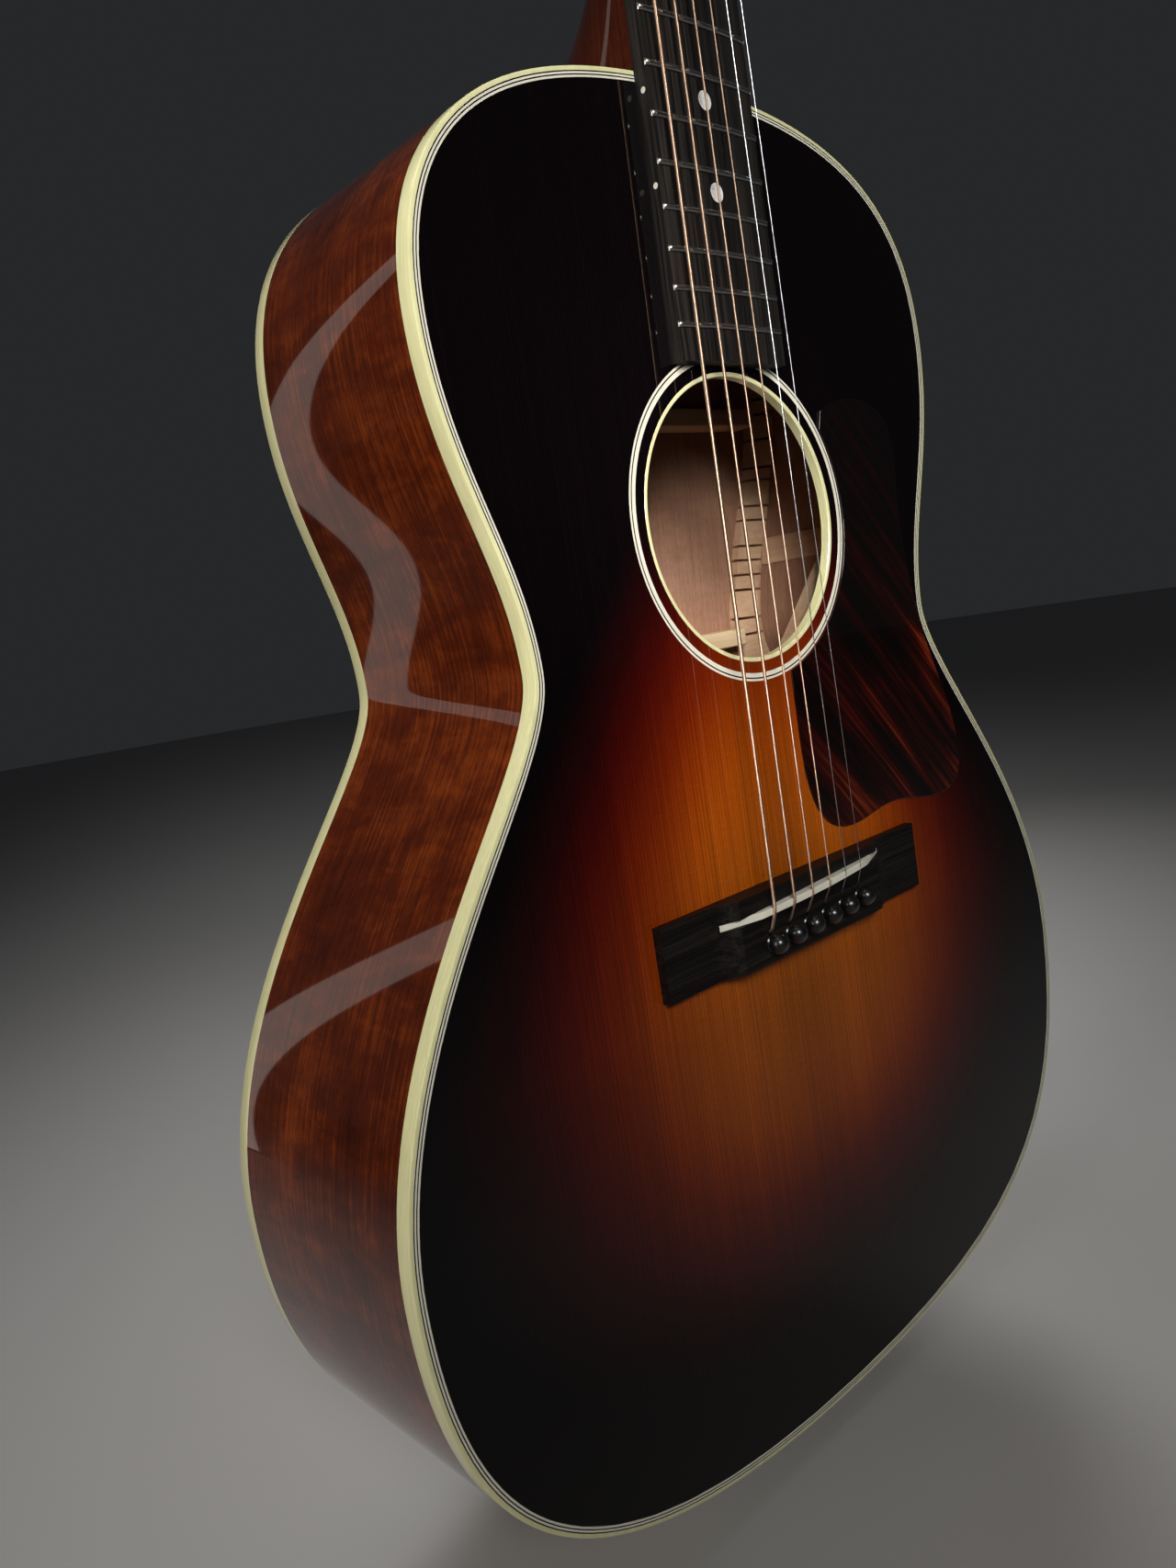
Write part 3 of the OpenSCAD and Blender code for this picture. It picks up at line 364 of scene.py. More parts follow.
# %% Metals
def metal(name, colour, rough, brushed=(900, 900, 60), tarnish=0.25):
    f = Finish(name, metallic=1.0, roughness=rough)
    here = f.place()
    scratch = f.noise(f.stretch(here, brushed), detail=3.0, rough=0.7)
    dull = f.noise(here, scale=90.0, detail=2.0)
    f.feed("Base Color", f.shade(colour, f.level(dull, 0.3, 0.7, 1 - tarnish, 1.0)))
    f.feed("Roughness", f.level(scratch, 0.3, 0.7, rough * 0.7, rough * 1.5))
    return f.material


WRAP_PITCH = 0.00042


def wound_wire():
    f = Finish("bronze winding", metallic=1.0, roughness=0.3)
    along, _, _ = f.parts(f.place("UV"))
    turns = (along * (2 * math.pi / WRAP_PITCH)).sine() * 0.5 + 0.5
    patch = f.noise(f.place(), scale=70.0, detail=2.0)
    tint = f.mix(f.level(patch, 0.3, 0.7), (0.79, 0.50, 0.34), (0.88, 0.62, 0.46))
    # painted shade: the colour is darkened in the grooves between the turns; the bump below gives the turns
    # their relief
    f.feed("Base Color", f.shade(tint, f.level(turns, 0.0, 0.6, 0.5, 1.0)))
    f.bump(turns, 0.00008, 0.6)
    return f.material


FRET_METAL = metal("fret nickel", (0.62, 0.61, 0.58), 0.24, brushed=(60, 60, 3000), tarnish=0.1)
NICKEL = metal("tuner nickel", (0.72, 0.70, 0.65), 0.22, brushed=(4200, 4200, 700), tarnish=0.04)
BRASS = metal("machine brass", (0.80, 0.57, 0.26), 0.28)
STEEL = metal("plain steel", (0.66, 0.68, 0.70), 0.24, brushed=(3000, 3000, 40), tarnish=0.05)
BRONZE = wound_wire()
print("metals: five finishes")


# %% Bare wood
def bare_wood(name, light, dark, grain=(500, 500, 9)):
    f = Finish(name, roughness=0.66, specular_ior_level=0.2)
    here = f.place()
    lines = f.noise(f.stretch(here, grain), detail=3.0, rough=0.6)
    cloud = f.noise(here, scale=14.0, detail=2.0)
    tone = f.level(lines, 0.3, 0.7) * 0.65 + f.level(cloud, 0.3, 0.7) * 0.35
    f.feed("Base Color", f.ramp(tone, (0.1, dark), (0.9, light)))
    f.bump(lines, 0.0001, 0.6)
    return f.material


BRACE = bare_wood("bare spruce", (0.80, 0.62, 0.40), (0.62, 0.44, 0.25), grain=(9, 500, 500))
# a darker copy of the bare spruce for the X-braces: painted shade, so the brace beside the soundhole stays
# dark under the hole light
PAINTED_SHADE_BRACE = bare_wood("painted shade spruce", (0.40, 0.27, 0.17), (0.29, 0.185, 0.11), grain=(9, 500, 500))
LINING = bare_wood("bare lining", (0.72, 0.50, 0.33), (0.52, 0.33, 0.20), grain=(300, 12, 300))
BLOCK = bare_wood("bare block", (0.46, 0.26, 0.16), (0.30, 0.155, 0.09))
print("bare wood: four finishes")

# %% [markdown]
# ## Mesh helpers
# Most pieces are sweeps: a small section carried along a path, giving rows of points that are joined
# with quads. One helper joins the rows, closes the ends and writes a UV map in metres, and another
# smooths the faces but keeps the corners sharp.

# %% Join rows of points into a piece
def to_mesh(bm, name, turn_out=True):
    if turn_out:
        bmesh.ops.recalc_face_normals(bm, faces=bm.faces)
    mesh = bpy.data.meshes.new(name)
    bm.to_mesh(mesh)
    bm.free()
    return mesh


def finish_piece(name, shape, materials, body="guitar", stands_for=(), slot=None, sharp=38):
    """shape: a mesh, or a bmesh whose faces are first turned outwards."""
    mesh = shape if isinstance(shape, bpy.types.Mesh) else to_mesh(shape, name)
    for material in materials:
        mesh.materials.append(material)
    mesh.shade_smooth()
    mesh.set_sharp_from_angle(angle=math.radians(sharp))
    piece = bpy.data.objects.new(name, mesh)
    bpy.context.scene.collection.objects.link(piece)
    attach(piece, body)
    if stands_for:
        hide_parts(*stands_for)
    return piece


def add_rows(bm, rows, closed=False, caps=True, material=0, uvs=None, paints=None):
    """rows: equal rings of points in mm. closed joins the last ring to the first."""
    uv = bm.loops.layers.uv.verify()
    made = [[bm.verts.new([c * MM for c in p]) for p in row] for row in rows]
    count = len(rows[0])
    for i in range(len(rows) if closed else len(rows) - 1):
        for k in range(count):
            j, m = (i + 1) % len(rows), (k + 1) % count
            face = bm.faces.new((made[i][k], made[j][k], made[j][m], made[i][m]))
            face.material_index = paints[k] if paints else material
            if uvs:
                corners = [(i, k), (i + 1, k), (i + 1, k + 1), (i, k + 1)]
                for corner, (a, b) in zip(face.loops, corners):
                    corner[uv].uv = uvs(a, b)
    if caps and not closed:
        for row in (list(reversed(made[0])), made[-1]):
            bm.faces.new(row).material_index = material
    return made


def soft_edge(piece, width, segments=2, angle=35):
    """A live bevel along the piece's sharp edges, its width in mm."""
    bevel = piece.modifiers.new("soft edge", "BEVEL")
    bevel.width, bevel.segments = width * MM, segments
    bevel.limit_method, bevel.angle_limit = "ANGLE", math.radians(angle)
    even = piece.modifiers.new("even shading", "WEIGHTED_NORMAL")
    even.weight, even.thresh = 100, 0.02


print("rows of points can be joined")


# %% Turned pieces: a profile on +X, spun by Screw
WELD = 0.000001


def turned(name, profile, material, body="guitar", steps=40, at=(0, 0, 0), axis=(0, 0, 1), **more):
    """profile: (radius, height) in mm from the top down, spun about Z, then laid along axis."""
    mesh = bpy.data.meshes.new(name)
    points = [(r * MM, 0, h * MM) for r, h in profile]
    mesh.from_pydata(points, [(i, i + 1) for i in range(len(points) - 1)], [])
    spun = bpy.data.objects.new(name, mesh)
    bpy.context.scene.collection.objects.link(spun)
    screw = spun.modifiers.new("spin", "SCREW")
    screw.steps = screw.render_steps = steps
    screw.use_merge_vertices, screw.merge_threshold = True, WELD
    depsgraph = bpy.context.evaluated_depsgraph_get()
    solid = bpy.data.meshes.new_from_object(spun.evaluated_get(depsgraph))
    bpy.data.objects.remove(spun)
    bm = bmesh.new()
    bm.from_mesh(solid)
    bmesh.ops.remove_doubles(bm, verts=bm.verts, dist=WELD)
    bmesh.ops.recalc_face_normals(bm, faces=bm.faces)
    turn = Vector((0, 0, 1)).rotation_difference(Vector(axis)).to_matrix().to_4x4()
    bm.transform(Matrix.Translation([c * MM for c in at]) @ turn)
    return finish_piece(name, to_mesh(bm, name, False), [material], body, **more)


print("profiles can be turned")


# %% Wires and tubes along a path
def run_lengths(points):
    """How far along a path each of its points lies, in mm."""
    lengths = [0.0]
    for a, b in zip(points, points[1:]):
        lengths.append(lengths[-1] + math.dist(a, b))
    return lengths


def tube_rows(path, radius, sides):
    """Rings square to a path in mm."""
    rows, side = [], None
    for i, point in enumerate(path):
        ahead = Vector(path[min(i + 1, len(path) - 1)]) - Vector(path[max(i - 1, 0)])
        ahead = ahead.normalized()
        if side is None:
            level = Vector((1, 0, 0)) if abs(ahead.x) < 0.9 else Vector((0, 1, 0))
            side = ahead.cross(level).normalized()
        side = (side - ahead * side.dot(ahead)).normalized()
        up = side.cross(ahead)
        turns = [2 * math.pi * k / sides for k in range(sides)]
        rows.append([Vector(point) + radius * (math.cos(a) * side + math.sin(a) * up) for a in turns])
    return rows


def add_wire(bm, path, radius, sides):
    """A closed tube whose first UV axis runs along it in metres."""
    lengths = run_lengths(path)
    add_rows(bm, tube_rows(path, radius, sides), uvs=lambda i, k: (lengths[i] * MM, k * 0.0001))


print("paths can be swept")

# %% [markdown]
# ## The outline of the body
# Each half of the outline is four curves: tail, hip, chest and shoulder. Every band round the body -
# sides, bindings, purfling and linings - is a section carried round this outline, so they all meet.

# %% The outline and the dome of the back
LOWER, WAIST, UPPER = (187.5, 133), (108.75, 301), (130.5, 406)
BACK_RADIUS, TAIL_DEPTH, HEEL_DEPTH = 4572, 110, 89
APEX = (BODY_LENGTH ** 2 - 2 * BACK_RADIUS * (TAIL_DEPTH - HEEL_DEPTH)) / 2 / BODY_LENGTH
BACK_DEEP = TAIL_DEPTH + APEX ** 2 / 2 / BACK_RADIUS
BINDING_W, BINDING_D, RIM_T, TOP_T, BACK_T = 1.5, 6, 2.2, 2.8, 2.6
CURVES = [
    [(0, 0), (142, 0), (LOWER[0], LOWER[1] - 86), LOWER],
    [LOWER, (LOWER[0], LOWER[1] + 80), (WAIST[0], WAIST[1] - 30), WAIST],
    [WAIST, (WAIST[0], WAIST[1] + 36), (UPPER[0], UPPER[1] - 44), UPPER],
    [UPPER, (UPPER[0], UPPER[1] + 61), (80, BODY_LENGTH), (0, BODY_LENGTH)],
]


def cubic(curve, t):
    shares = ((1 - t) ** 3, 3 * (1 - t) ** 2 * t, 3 * (1 - t) * t * t, t ** 3)
    return [sum(s * p[i] for s, p in zip(shares, curve)) for i in (0, 1)]


def heading(curve, t):
    shares = ((1 - t) ** 2, 2 * (1 - t) * t, t * t)
    d = [sum(s * (curve[k + 1][i] - curve[k][i]) for k, s in enumerate(shares)) for i in (0, 1)]
    size = math.hypot(*d)
    return d[0] / size, d[1] / size


def half_outline(steps=40):
    """(x, z, inward x, inward z) up the treble half, from the tail to the neck."""
    points = []
    for n, curve in enumerate(CURVES):
        for i in range(steps + (n == len(CURVES) - 1)):
            t = i / steps
            (x, z), (dx, dz) = cubic(curve, t), heading(curve, t)
            points.append((x, z, -dz, dx))
    return points


HALF = half_outline()
LOOP = HALF + [(-x, z, -nx, nz) for x, z, nx, nz in reversed(HALF[1:-1])]


def inset_point(p, inset):
    return p[0] + p[2] * inset, p[1] + p[3] * inset


def back_y(x, z, skin=0.0):
    """Depth coordinate of the domed back, less a skin."""
    r = BACK_RADIUS - skin
    return FACE + BACK_DEEP - BACK_RADIUS + math.sqrt(r * r - x * x - (z - APEX) ** 2)


def edge(skin):
    """The depth at a skin from the back, for a section that is carried round the body."""
    return lambda x, z: back_y(x, z, skin)


print("outline:", len(LOOP), "points; the dome is deepest at", round(APEX, 1), "mm")


# %% Carry a section round the body
def around(bm, section, path=None, closed=True, **more):
    """section: (inset, y as a function of x and z) pairs; path: points of the outline."""
    path = path or LOOP
    rows = []
    for p in path:
        row = []
        for inset, depth in section:
            x, z = inset_point(p, inset)
            row.append((x, depth(x, z) if callable(depth) else FACE + depth, z))
        rows.append(row)
    lengths = run_lengths([p[:2] for p in path + path[:1]])
    girth = run_lengths(rows[0] + rows[0][:1])
    return add_rows(bm, rows, closed=closed, uvs=lambda i, k: (lengths[i] * MM, girth[k] * MM), **more)


print("sections can be carried round", len(LOOP), "points")

# %% [markdown]
# ## Sides, bindings and purfling
# A side is 2.2 mm thick and rebated at both edges for the cream binding. The binding's outer corner
# is rounded over by hand on the real thing, which gives it its soft highlight. Inside the front
# binding lie four fine lines: black, white, black and white, each its own strip of plastic.

# %% The two sides
for label, sign, node in (("treble_side", 1, "rim_treble"), ("bass_side", -1, "rim_bass")):
    path = [(sign * x, z, sign * nx, nz) for x, z, nx, nz in HALF]
    bm = bmesh.new()
    around(bm, [(0.0, BINDING_D), (0.0, edge(BINDING_D)), (BINDING_W, edge(BINDING_D)),
                (BINDING_W, edge(BACK_T)), (RIM_T, edge(BACK_T)), (RIM_T, TOP_T), (BINDING_W, TOP_T),
                (BINDING_W, BINDING_D)], path, closed=False, paints=[0, 0, 0, 0, 1, 0, 0, 0])
    finish_piece(label, bm, [SIDES, RAW_SIDES], stands_for=[node], slot="mahogany_gloss")
print("two sides bent")

# %% Bindings
STRIP = [(0.0, BINDING_D), (0.0, 0.45), (0.12, 0.14), (0.45, 0.0), (BINDING_W, 0.0),
         (BINDING_W, BINDING_D)]
for label, node, at in (("front_binding", "top_binding", float), ("rear_binding", "back_binding", edge)):
    bm = bmesh.new()
    around(bm, [(inset, at(depth)) for inset, depth in STRIP])
    finish_piece(label, bm, [IVOROID], stands_for=[node], slot="ivoroid")
print("bindings laid")

# %% Purfling: four strips side by side, a hair proud of the soundboard
LINES = [(1.5, 1.9, 1), (1.9, 2.5, 0), (2.5, 2.9, 1), (2.9, 3.55, 0)]
PROUD, LINE_DEEP = -0.02, 1.1
bm = bmesh.new()
for low, high, paint in LINES:
    around(bm, [(low, PROUD), (high, PROUD), (high, LINE_DEEP), (low, LINE_DEEP)], material=paint)
finish_piece("purfling_strips", bm, [WHITE_LINE, BLACK_LINE], stands_for=["top_purfling"],
             slot="purfling_lines")
print("purfling:", len(LINES), "lines")

# %% [markdown]
# ## The domed back
# The back is a shallow dome, so its surface is made as rings of the outline shrunk towards the middle,
# each point pushed out to the dome. That keeps the rim exact where it meets the binding, which a grid
# cut to the outline wouldn't. The same rings, less the wood's thickness, make the bare inner face.

# %% The back plate
MIDDLE_Z, RINGS = 245, 14


def plate_rows(skin):
    rows = []
    for n in range(RINGS):
        share = 1 - n / RINGS
        row = []
        for p in LOOP:
            x, z = inset_point(p, BINDING_W)
            x, z = x * share, MIDDLE_Z + (z - MIDDLE_Z) * share
            row.append((x, back_y(x, z, skin), z))
        rows.append(row)
    return rows


bm = bmesh.new()
outer = add_rows(bm, plate_rows(0.0), caps=False)
inner = add_rows(bm, plate_rows(BACK_T), caps=False, material=1)
for rows, skin, paint in ((outer, 0.0, 0), (inner, BACK_T, 1)):
    middle = bm.verts.new((0, back_y(0, MIDDLE_Z, skin) * MM, MIDDLE_Z * MM))
    for a, b in zip(rows[-1], rows[-1][1:] + rows[-1][:1]):
        bm.faces.new((a, b, middle)).material_index = paint
for k in range(len(LOOP)):
    m = (k + 1) % len(LOOP)
    bm.faces.new((outer[0][k], outer[0][m], inner[0][m], inner[0][k]))
finish_piece("domed_back", bm, [BACK, RAW], stands_for=["back_plate"], slot="mahogany_gloss")
print("back: one dome of", BACK_RADIUS, "mm radius")

# %% [markdown]
# ## Kerfed linings
# The plates are glued to the sides through linings: strips sawn almost through every 6.5 mm so that
# they bend. Each little block is a wedge, and through the soundhole their row looks like a comb. An
# array along a curve would bend each block; separate short sweeps keep them straight, as sawn ones are.

# %% Rows of kerfed blocks
KERF_PITCH, KERF_BLOCK = 6.5, 5.5
TAIL_GAP, NECK_GAP = 34.0, 39


def kerf_blocks(name, wedge, stands_for):
    bm = bmesh.new()
    section = [(RIM_T + inset, depth) for inset, depth in wedge]
    fine = half_outline(steps=90)
    run = run_lengths([p[:2] for p in fine])
    count = 0
    for sign in (1, -1):
        spot = TAIL_GAP
        while spot < run[-1] - NECK_GAP:
            ends = [min(zip(run, fine), key=lambda m: abs(m[0] - s))[1] for s in (spot, spot + KERF_BLOCK)]
            path = [(sign * x, z, sign * nx, nz) for x, z, nx, nz in ends]
            around(bm, section, path, closed=False)
            spot += KERF_PITCH
            count += 1
    finish_piece(name, bm, [LINING], stands_for=stands_for, slot="lining_wood", sharp=20)
    return count


WEDGE = [(0, 0), (0, 14), (1.4, 14), (6, 4), (6, 0)]
made = kerf_blocks("front_lining_blocks", [(i, TOP_T + d) for i, d in WEDGE], ["top_lining"])
made += kerf_blocks("rear_lining_blocks", [(i, edge(BACK_T + d)) for i, d in WEDGE], ["back_lining"])
print(made, "kerfed blocks")

# %% [markdown]
# ## Soundhole and rosette
# A cream ring binds the soundhole, and the rosette is a broad white ring with a black line and a fine
# white line outside it. All of them are turned: a small section spun about the soundhole's centre.

# %% Rings round the soundhole
HOLE_Z = sum(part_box("soundhole_binding")[i][2] for i in (0, 1)) / 2 / MM
HOLE_R = 49.7


def hole_ring(name, r0, r1, low, high, soft, material, slot, stands_for=()):
    section = [(r0, high), (r0, low + soft), (r0 + soft, low), (r1 - soft, low), (r1, low + soft),
               (r1, high), (r0, high)]
    turned(name, [(r, -h) for r, h in section], material, steps=128, at=(0, FACE, HOLE_Z),
           axis=(0, -1, 0), stands_for=stands_for, slot=slot)


hole_ring("soundhole_ring", HOLE_R, HOLE_R + 1.75, -0.04, 3.6, 0.3, IVOROID, "ivoroid",
          ["soundhole_binding"])
for name, r0, r1, soft, material, stands_for in (
        ("rosette_white", 55.4, 57.0, 0.02, WHITE_LINE, ["rosette"]),
        ("rosette_black", 57.0, 57.5, 0.01, BLACK_LINE, []),
        ("rosette_fine", 57.5, 58.3, 0.01, WHITE_LINE, [])):
    hole_ring(name, r0, r1, PROUD, LINE_DEEP, soft, material, "purfling_lines", stands_for)
print("soundhole rings at z =", round(HOLE_Z, 1), "mm")

# %% [markdown]
# ## Pickguard
# A thin sheet of tortoise plastic that follows the rosette and then swings out in two round lobes.
# Only its outline is drawn, with curves; live Solidify and Bevel modifiers give it thickness and the
# softened edge, so that both stay easy to change.

# %% The pickguard
GUARD = [
    [(52, 380), (70, 389), (100, 386), (99.5, 362)], [(99.5, 362), (97, 340), (97, 318), (106, 288)],
    [(106, 288), (117, 262), (124, 248), (124, 234)], [(124, 234), (124, 212), (98, 218), (80, 221.5)],
    [(80, 221.5), (62, 224.5), (54, 219.5), (41, 219.5)], [(41, 219.5), (12, 219.5), (14, 248), (14, 278)]]
GUARD_R, GUARD_T = 58.6, 0.8
GUARD_END = GUARD[-1][-1]


def lead(share):
    """A point of the short straight edge that leaves the rosette, from the soundhole's centre."""
    return 40 + 12 * share, 340 + 40 * share - HOLE_Z


guard_line = [cubic(c, i / 16) for c in GUARD for i in range(16)] + [GUARD_END]
high = next(t / 100 for t in range(101) if math.hypot(*lead(t / 100)) > GUARD_R)
low_angle, high_angle = math.acos(GUARD_END[0] / GUARD_R), math.atan2(*reversed(lead(high)))
arc = [-low_angle + (high_angle + low_angle) * i / 24 for i in range(25)]
guard_line += [(GUARD_R * math.cos(a), HOLE_Z + GUARD_R * math.sin(a)) for a in arc]
mesh = bpy.data.meshes.new("pickguard_sheet")
mesh.from_pydata([(x * MM, FACE * MM, z * MM) for x, z in guard_line], [], [list(range(len(guard_line)))])
if mesh.polygons[0].normal.y > 0:
    mesh.flip_normals()
guard = finish_piece("pickguard_sheet", mesh, [TORTOISE], stands_for=["pickguard"], slot="tortoise")
sheet = guard.modifiers.new("thickness", "SOLIDIFY")
sheet.thickness, sheet.offset = GUARD_T * MM, 1.0
soft_edge(guard, 0.3, 3)
print("pickguard:", len(guard_line), "points round its edge")

# %% [markdown]
# ## Frets
# A fret is a crowned wire bent to the camber of the fingerboard. Its round section is carried along
# the arc, and its ends are rounded down to the edge of the board.

# %% Twenty fret crowns
SCALE, SCALE_Z, BOARD_R = 628.65, 208.5, 305.0
NUT_HALF, BODY_HALF = 22.2, 26.7
BOARD_T = 6.35
CROWN_TALL, CROWN_HALF, CROWN_FALL = 1.05, 1.0, 0.9


def fret_z(n):
    return SCALE_Z + SCALE * 2 ** (-n / 12)


FRET_14 = fret_z(14)


def board_half(z):
    return NUT_HALF + (NUT_Z - z) * (BODY_HALF - NUT_HALF) / (NUT_Z - FRET_14)


def camber(x):
    return BOARD_R - math.sqrt(BOARD_R ** 2 - x * x)


def crown_rows(n):
    z, half = fret_z(n), board_half(fret_z(n)) - 0.05
    rows = []
    for i in range(29):
        x = half * math.sin(math.pi / 2 * (i / 14 - 1))
        end = min(1.0, max(0.0, (half - abs(x)) / CROWN_FALL))
        tall = CROWN_TALL * math.sqrt(max(0.0, 1 - (1 - end) ** 2)) + 0.02
        wood = FACE - BOARD_T + camber(x)
        arch = [math.pi * k / 10 for k in range(11)]
        row = [(x, wood - tall * math.sin(a), z + CROWN_HALF * math.cos(a)) for a in arch]
        rows.append(row + [(x, wood + 0.3, z - CROWN_HALF), (x, wood + 0.3, z + CROWN_HALF)])
    return rows


bm = bmesh.new()
for n in range(1, 21):
    add_rows(bm, crown_rows(n))
finish_piece("fret_crowns", bm, [FRET_METAL], stands_for=["frets"], slot="fret_nickel")
print("frets: 20 crowns, the 14th at", round(FRET_14, 1), "mm")

# %% [markdown]
# ## Neck and head
# One loft makes the whole neck: a deep heel at the body, a slim rounded shaft, and a flat head laid
# back by 15 degrees. Every ring has the same number of points; its corners go from round to square.
# A box model with subdivision would be quicker, but the loft keeps the board's edges exactly straight.

# %% The neck's rings
HEAD_Z, TILT = NUT_Z + 5, math.radians(15)
HEAD_T, HEAD_L = 14.0, 174.0
HEEL_RISE, HEEL_END = 72, 85.6
RING, FLAT = 40, 6


def from_head(x, v, u):
    """A point given across, into and up along the head, in mm."""
    cos, sin = math.cos(TILT), math.sin(TILT)
    return (x, FACE + v * cos + u * sin, HEAD_Z + u * cos - v * sin)


def heel_share(z):
    return max(0.0, 1 - (z - BODY_LENGTH) / HEEL_RISE) ** 2.4


def smooth_step(t):
    t = min(1.0, max(0.0, t))
    return t * t * (3 - 2 * t)


def head_half(u):
    """Half the head's width: a smooth flare near the nut, then straight lines."""
    line = [(0, 22.2), (8, 23.2), (30, 34.0), (168, 38.0), (180, 38.4)]
    for (a, low), (b, high) in zip(line, line[1:]):
        if u <= b:
            share = (u - a) / (b - a)
            return low + (high - low) * (smooth_step(share) if a < 30 else share)


def front_points(half):
    """Points across the flat front, so that its end can follow a curve."""
    return [(half * (1 - j / 4), 0.0) for j in range(1, 8)]


def shaft_ring(z):
    share = heel_share(z)
    depth = 14.8 + 3.2 * (NUT_Z - z) / (NUT_Z - BODY_LENGTH)
    depth += (100 - depth) * share
    row = []
    for k in range(RING + 1):
        c, s = math.cos(math.pi * k / RING), math.sin(math.pi * k / RING)
        x = -math.copysign(board_half(z) * abs(c) ** (1 + 0.7 * share), c)
        row.append((x, FACE + min(depth * s, HEEL_END), z))
    return row + [(x, FACE + v, z) for x, v in front_points(board_half(z))]


def head_ring(u):
    """Round at the nut and a flat slab further up, with the same points all the way."""
    square = smooth_step(u / 26)
    half, depth = head_half(u), HEAD_T + 0.8 * (1 - square)
    row = []
    for k in range(RING + 1):
        c, s = math.cos(math.pi * k / RING), math.sin(math.pi * k / RING)
        rim = min(k, RING - k)
        flat_x = half * (1 - 2 * max(0, rim - FLAT) / (RING - 2 * FLAT)) * (1 if k > RING / 2 else -1)
        flat_v = depth * min(1.0, rim / FLAT)
        x = -half * c * (1 - square) + flat_x * square
        row.append((x, depth * s * (1 - square) + flat_v * square))
    row += front_points(half)
    return [from_head(x, v, u * (1 - 6 / HEAD_L * (x / 38.0) ** 2)) for x, v in row]


HEAD_STEPS = (0.6, 2, 4, 6, 8, 11, 14, 17, 20, 23, 26, 29, 30, 31, 34, 60, 90, 120, 150, 168, 173, HEAD_L)
rows = [shaft_ring(BODY_LENGTH + (NUT_Z - BODY_LENGTH) * (i / 56) ** 1.7) for i in range(57)]
rows += [head_ring(u) for u in HEAD_STEPS]
bm = bmesh.new()
add_rows(bm, rows)
finish_piece("neck_and_head", bm, [NECK], stands_for=["neck"], slot="mahogany_neck", sharp=34)
print("neck:", len(rows), "rings")

# %% [markdown]
# ## Bridge pins and end pin
# The pins are ebony: a ball on a short collar and a straight shank. Real ones are turned on a lathe,
# and here a profile is spun in the same way. Each rides its own body so that it can be pulled. The end
# pin is the same idea, larger, at the tail.

# %% Turned pins
def ball_profile(r, top, low, steps=10):
    """A ball's outline from its pole down to the height low, its pole at top."""
    stop = math.acos(max(-1.0, (low - (top - r)) / r))
    turns = [stop * i / steps for i in range(steps + 1)]
    return [(r * math.sin(a), top - r + r * math.cos(a)) for a in turns]


PIN_BALL, PIN_Z = 3.6, 193.5
SLANT = math.tan(math.radians(2.4))
for s in range(1, 7):
    low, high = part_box(f"bridge_pin_{s}")
    x, top = (low[0] + high[0]) / 2 / MM, -low[1] / MM
    z = PIN_Z + x * SLANT
    head = ball_profile(PIN_BALL, 0.0, -6.2)
    profile = head + [(2.9, -6.6), (2.9, -6.85), (2.4, -6.9), (2.4, -23.0), (1.9, -24.2), (0.0, -24.4)]
    turned(f"pin_{s}_turned", profile, BLACK_PIN, body=f"pin_{s}", at=(x, -top, z), axis=(0, -1, 0),
           stands_for=[f"bridge_pin_{s}"], slot="ebony")
profile = [(0.0, 22.0), (3.9, 22.0), (3.9, 0.4), (4.2, 0.0), (3.5, -1.4), (3.4, -3.6), (4.6, -5.0),
           (6.6, -6.0), (7.3, -7.6), (7.1, -9.2), (6.0, -10.4), (3.4, -10.95), (0.0, -11.0)]
turned("end_pin_turned", profile, BLACK_PIN, stands_for=["end_pin"], slot="ebony")
print("seven pins turned")

# %% [markdown]
# ## Strings
# Each string comes up through the bridge, turns over the saddle, runs to the nut and down to its post.
# The corners are rounded a little, because wire never bends sharply. The four thick strings are wound.
# A curve with a round bevel would look the same, but swept rings also give the winding its UV map.

# %% The strings' routes
DIAMETERS = [0.3, 0.41, 0.61, 0.81, 1.07, 1.35]
POST_X, FIRST_POST, POST_PITCH, VENEER = 25.0, 47.0, 39.0, 1.5


def across(s, spread):
    return spread * (0.5 - (s - 1) / 5)


def post_side(s):
    return 1 if s <= 3 else -1


def post_u(s):
    return FIRST_POST + POST_PITCH * (s - 1 if s <= 3 else 6 - s)


def route(s):
    d = DIAMETERS[s - 1]
    r, x, px, nx = d / 2, across(s, 54), across(s, 54.6), across(s, 36.8)
    pin = PIN_Z + px * SLANT
    meet_r = 3 + d * 1.5 + 0.02
    return [
        (px, FACE + TOP_T + 4.6, pin + 1.75), (px, FACE - 2.6, pin + 1.75), (px, FACE - 8.5 - r, pin + 4.6),
        (x, FACE - 12.2 + camber(x) - r - 0.05, 205.4 + x * SLANT), (nx, FACE - 8.1 + camber(nx), NUT_Z + 1),
        from_head(post_side(s) * (POST_X - meet_r), -VENEER - 2.4 - d * 2, post_u(s))]


def rounded(points, cut=0.9, steps=5):
    """The same route with each corner swept over a short curve."""
    path = [Vector(points[0])]
    for a, b, c in zip(points, points[1:], points[2:]):
        a, b, c = Vector(a), Vector(b), Vector(c)
        start = b + (a - b).normalized() * min(cut, (a - b).length / 2.5)
        end = b + (c - b).normalized() * min(cut, (c - b).length / 2.5)
        for i in range(steps + 1):
            t = i / steps
            path.append((1 - t) ** 2 * start + 2 * (1 - t) * t * b + t * t * end)
    return path + [Vector(points[-1])]


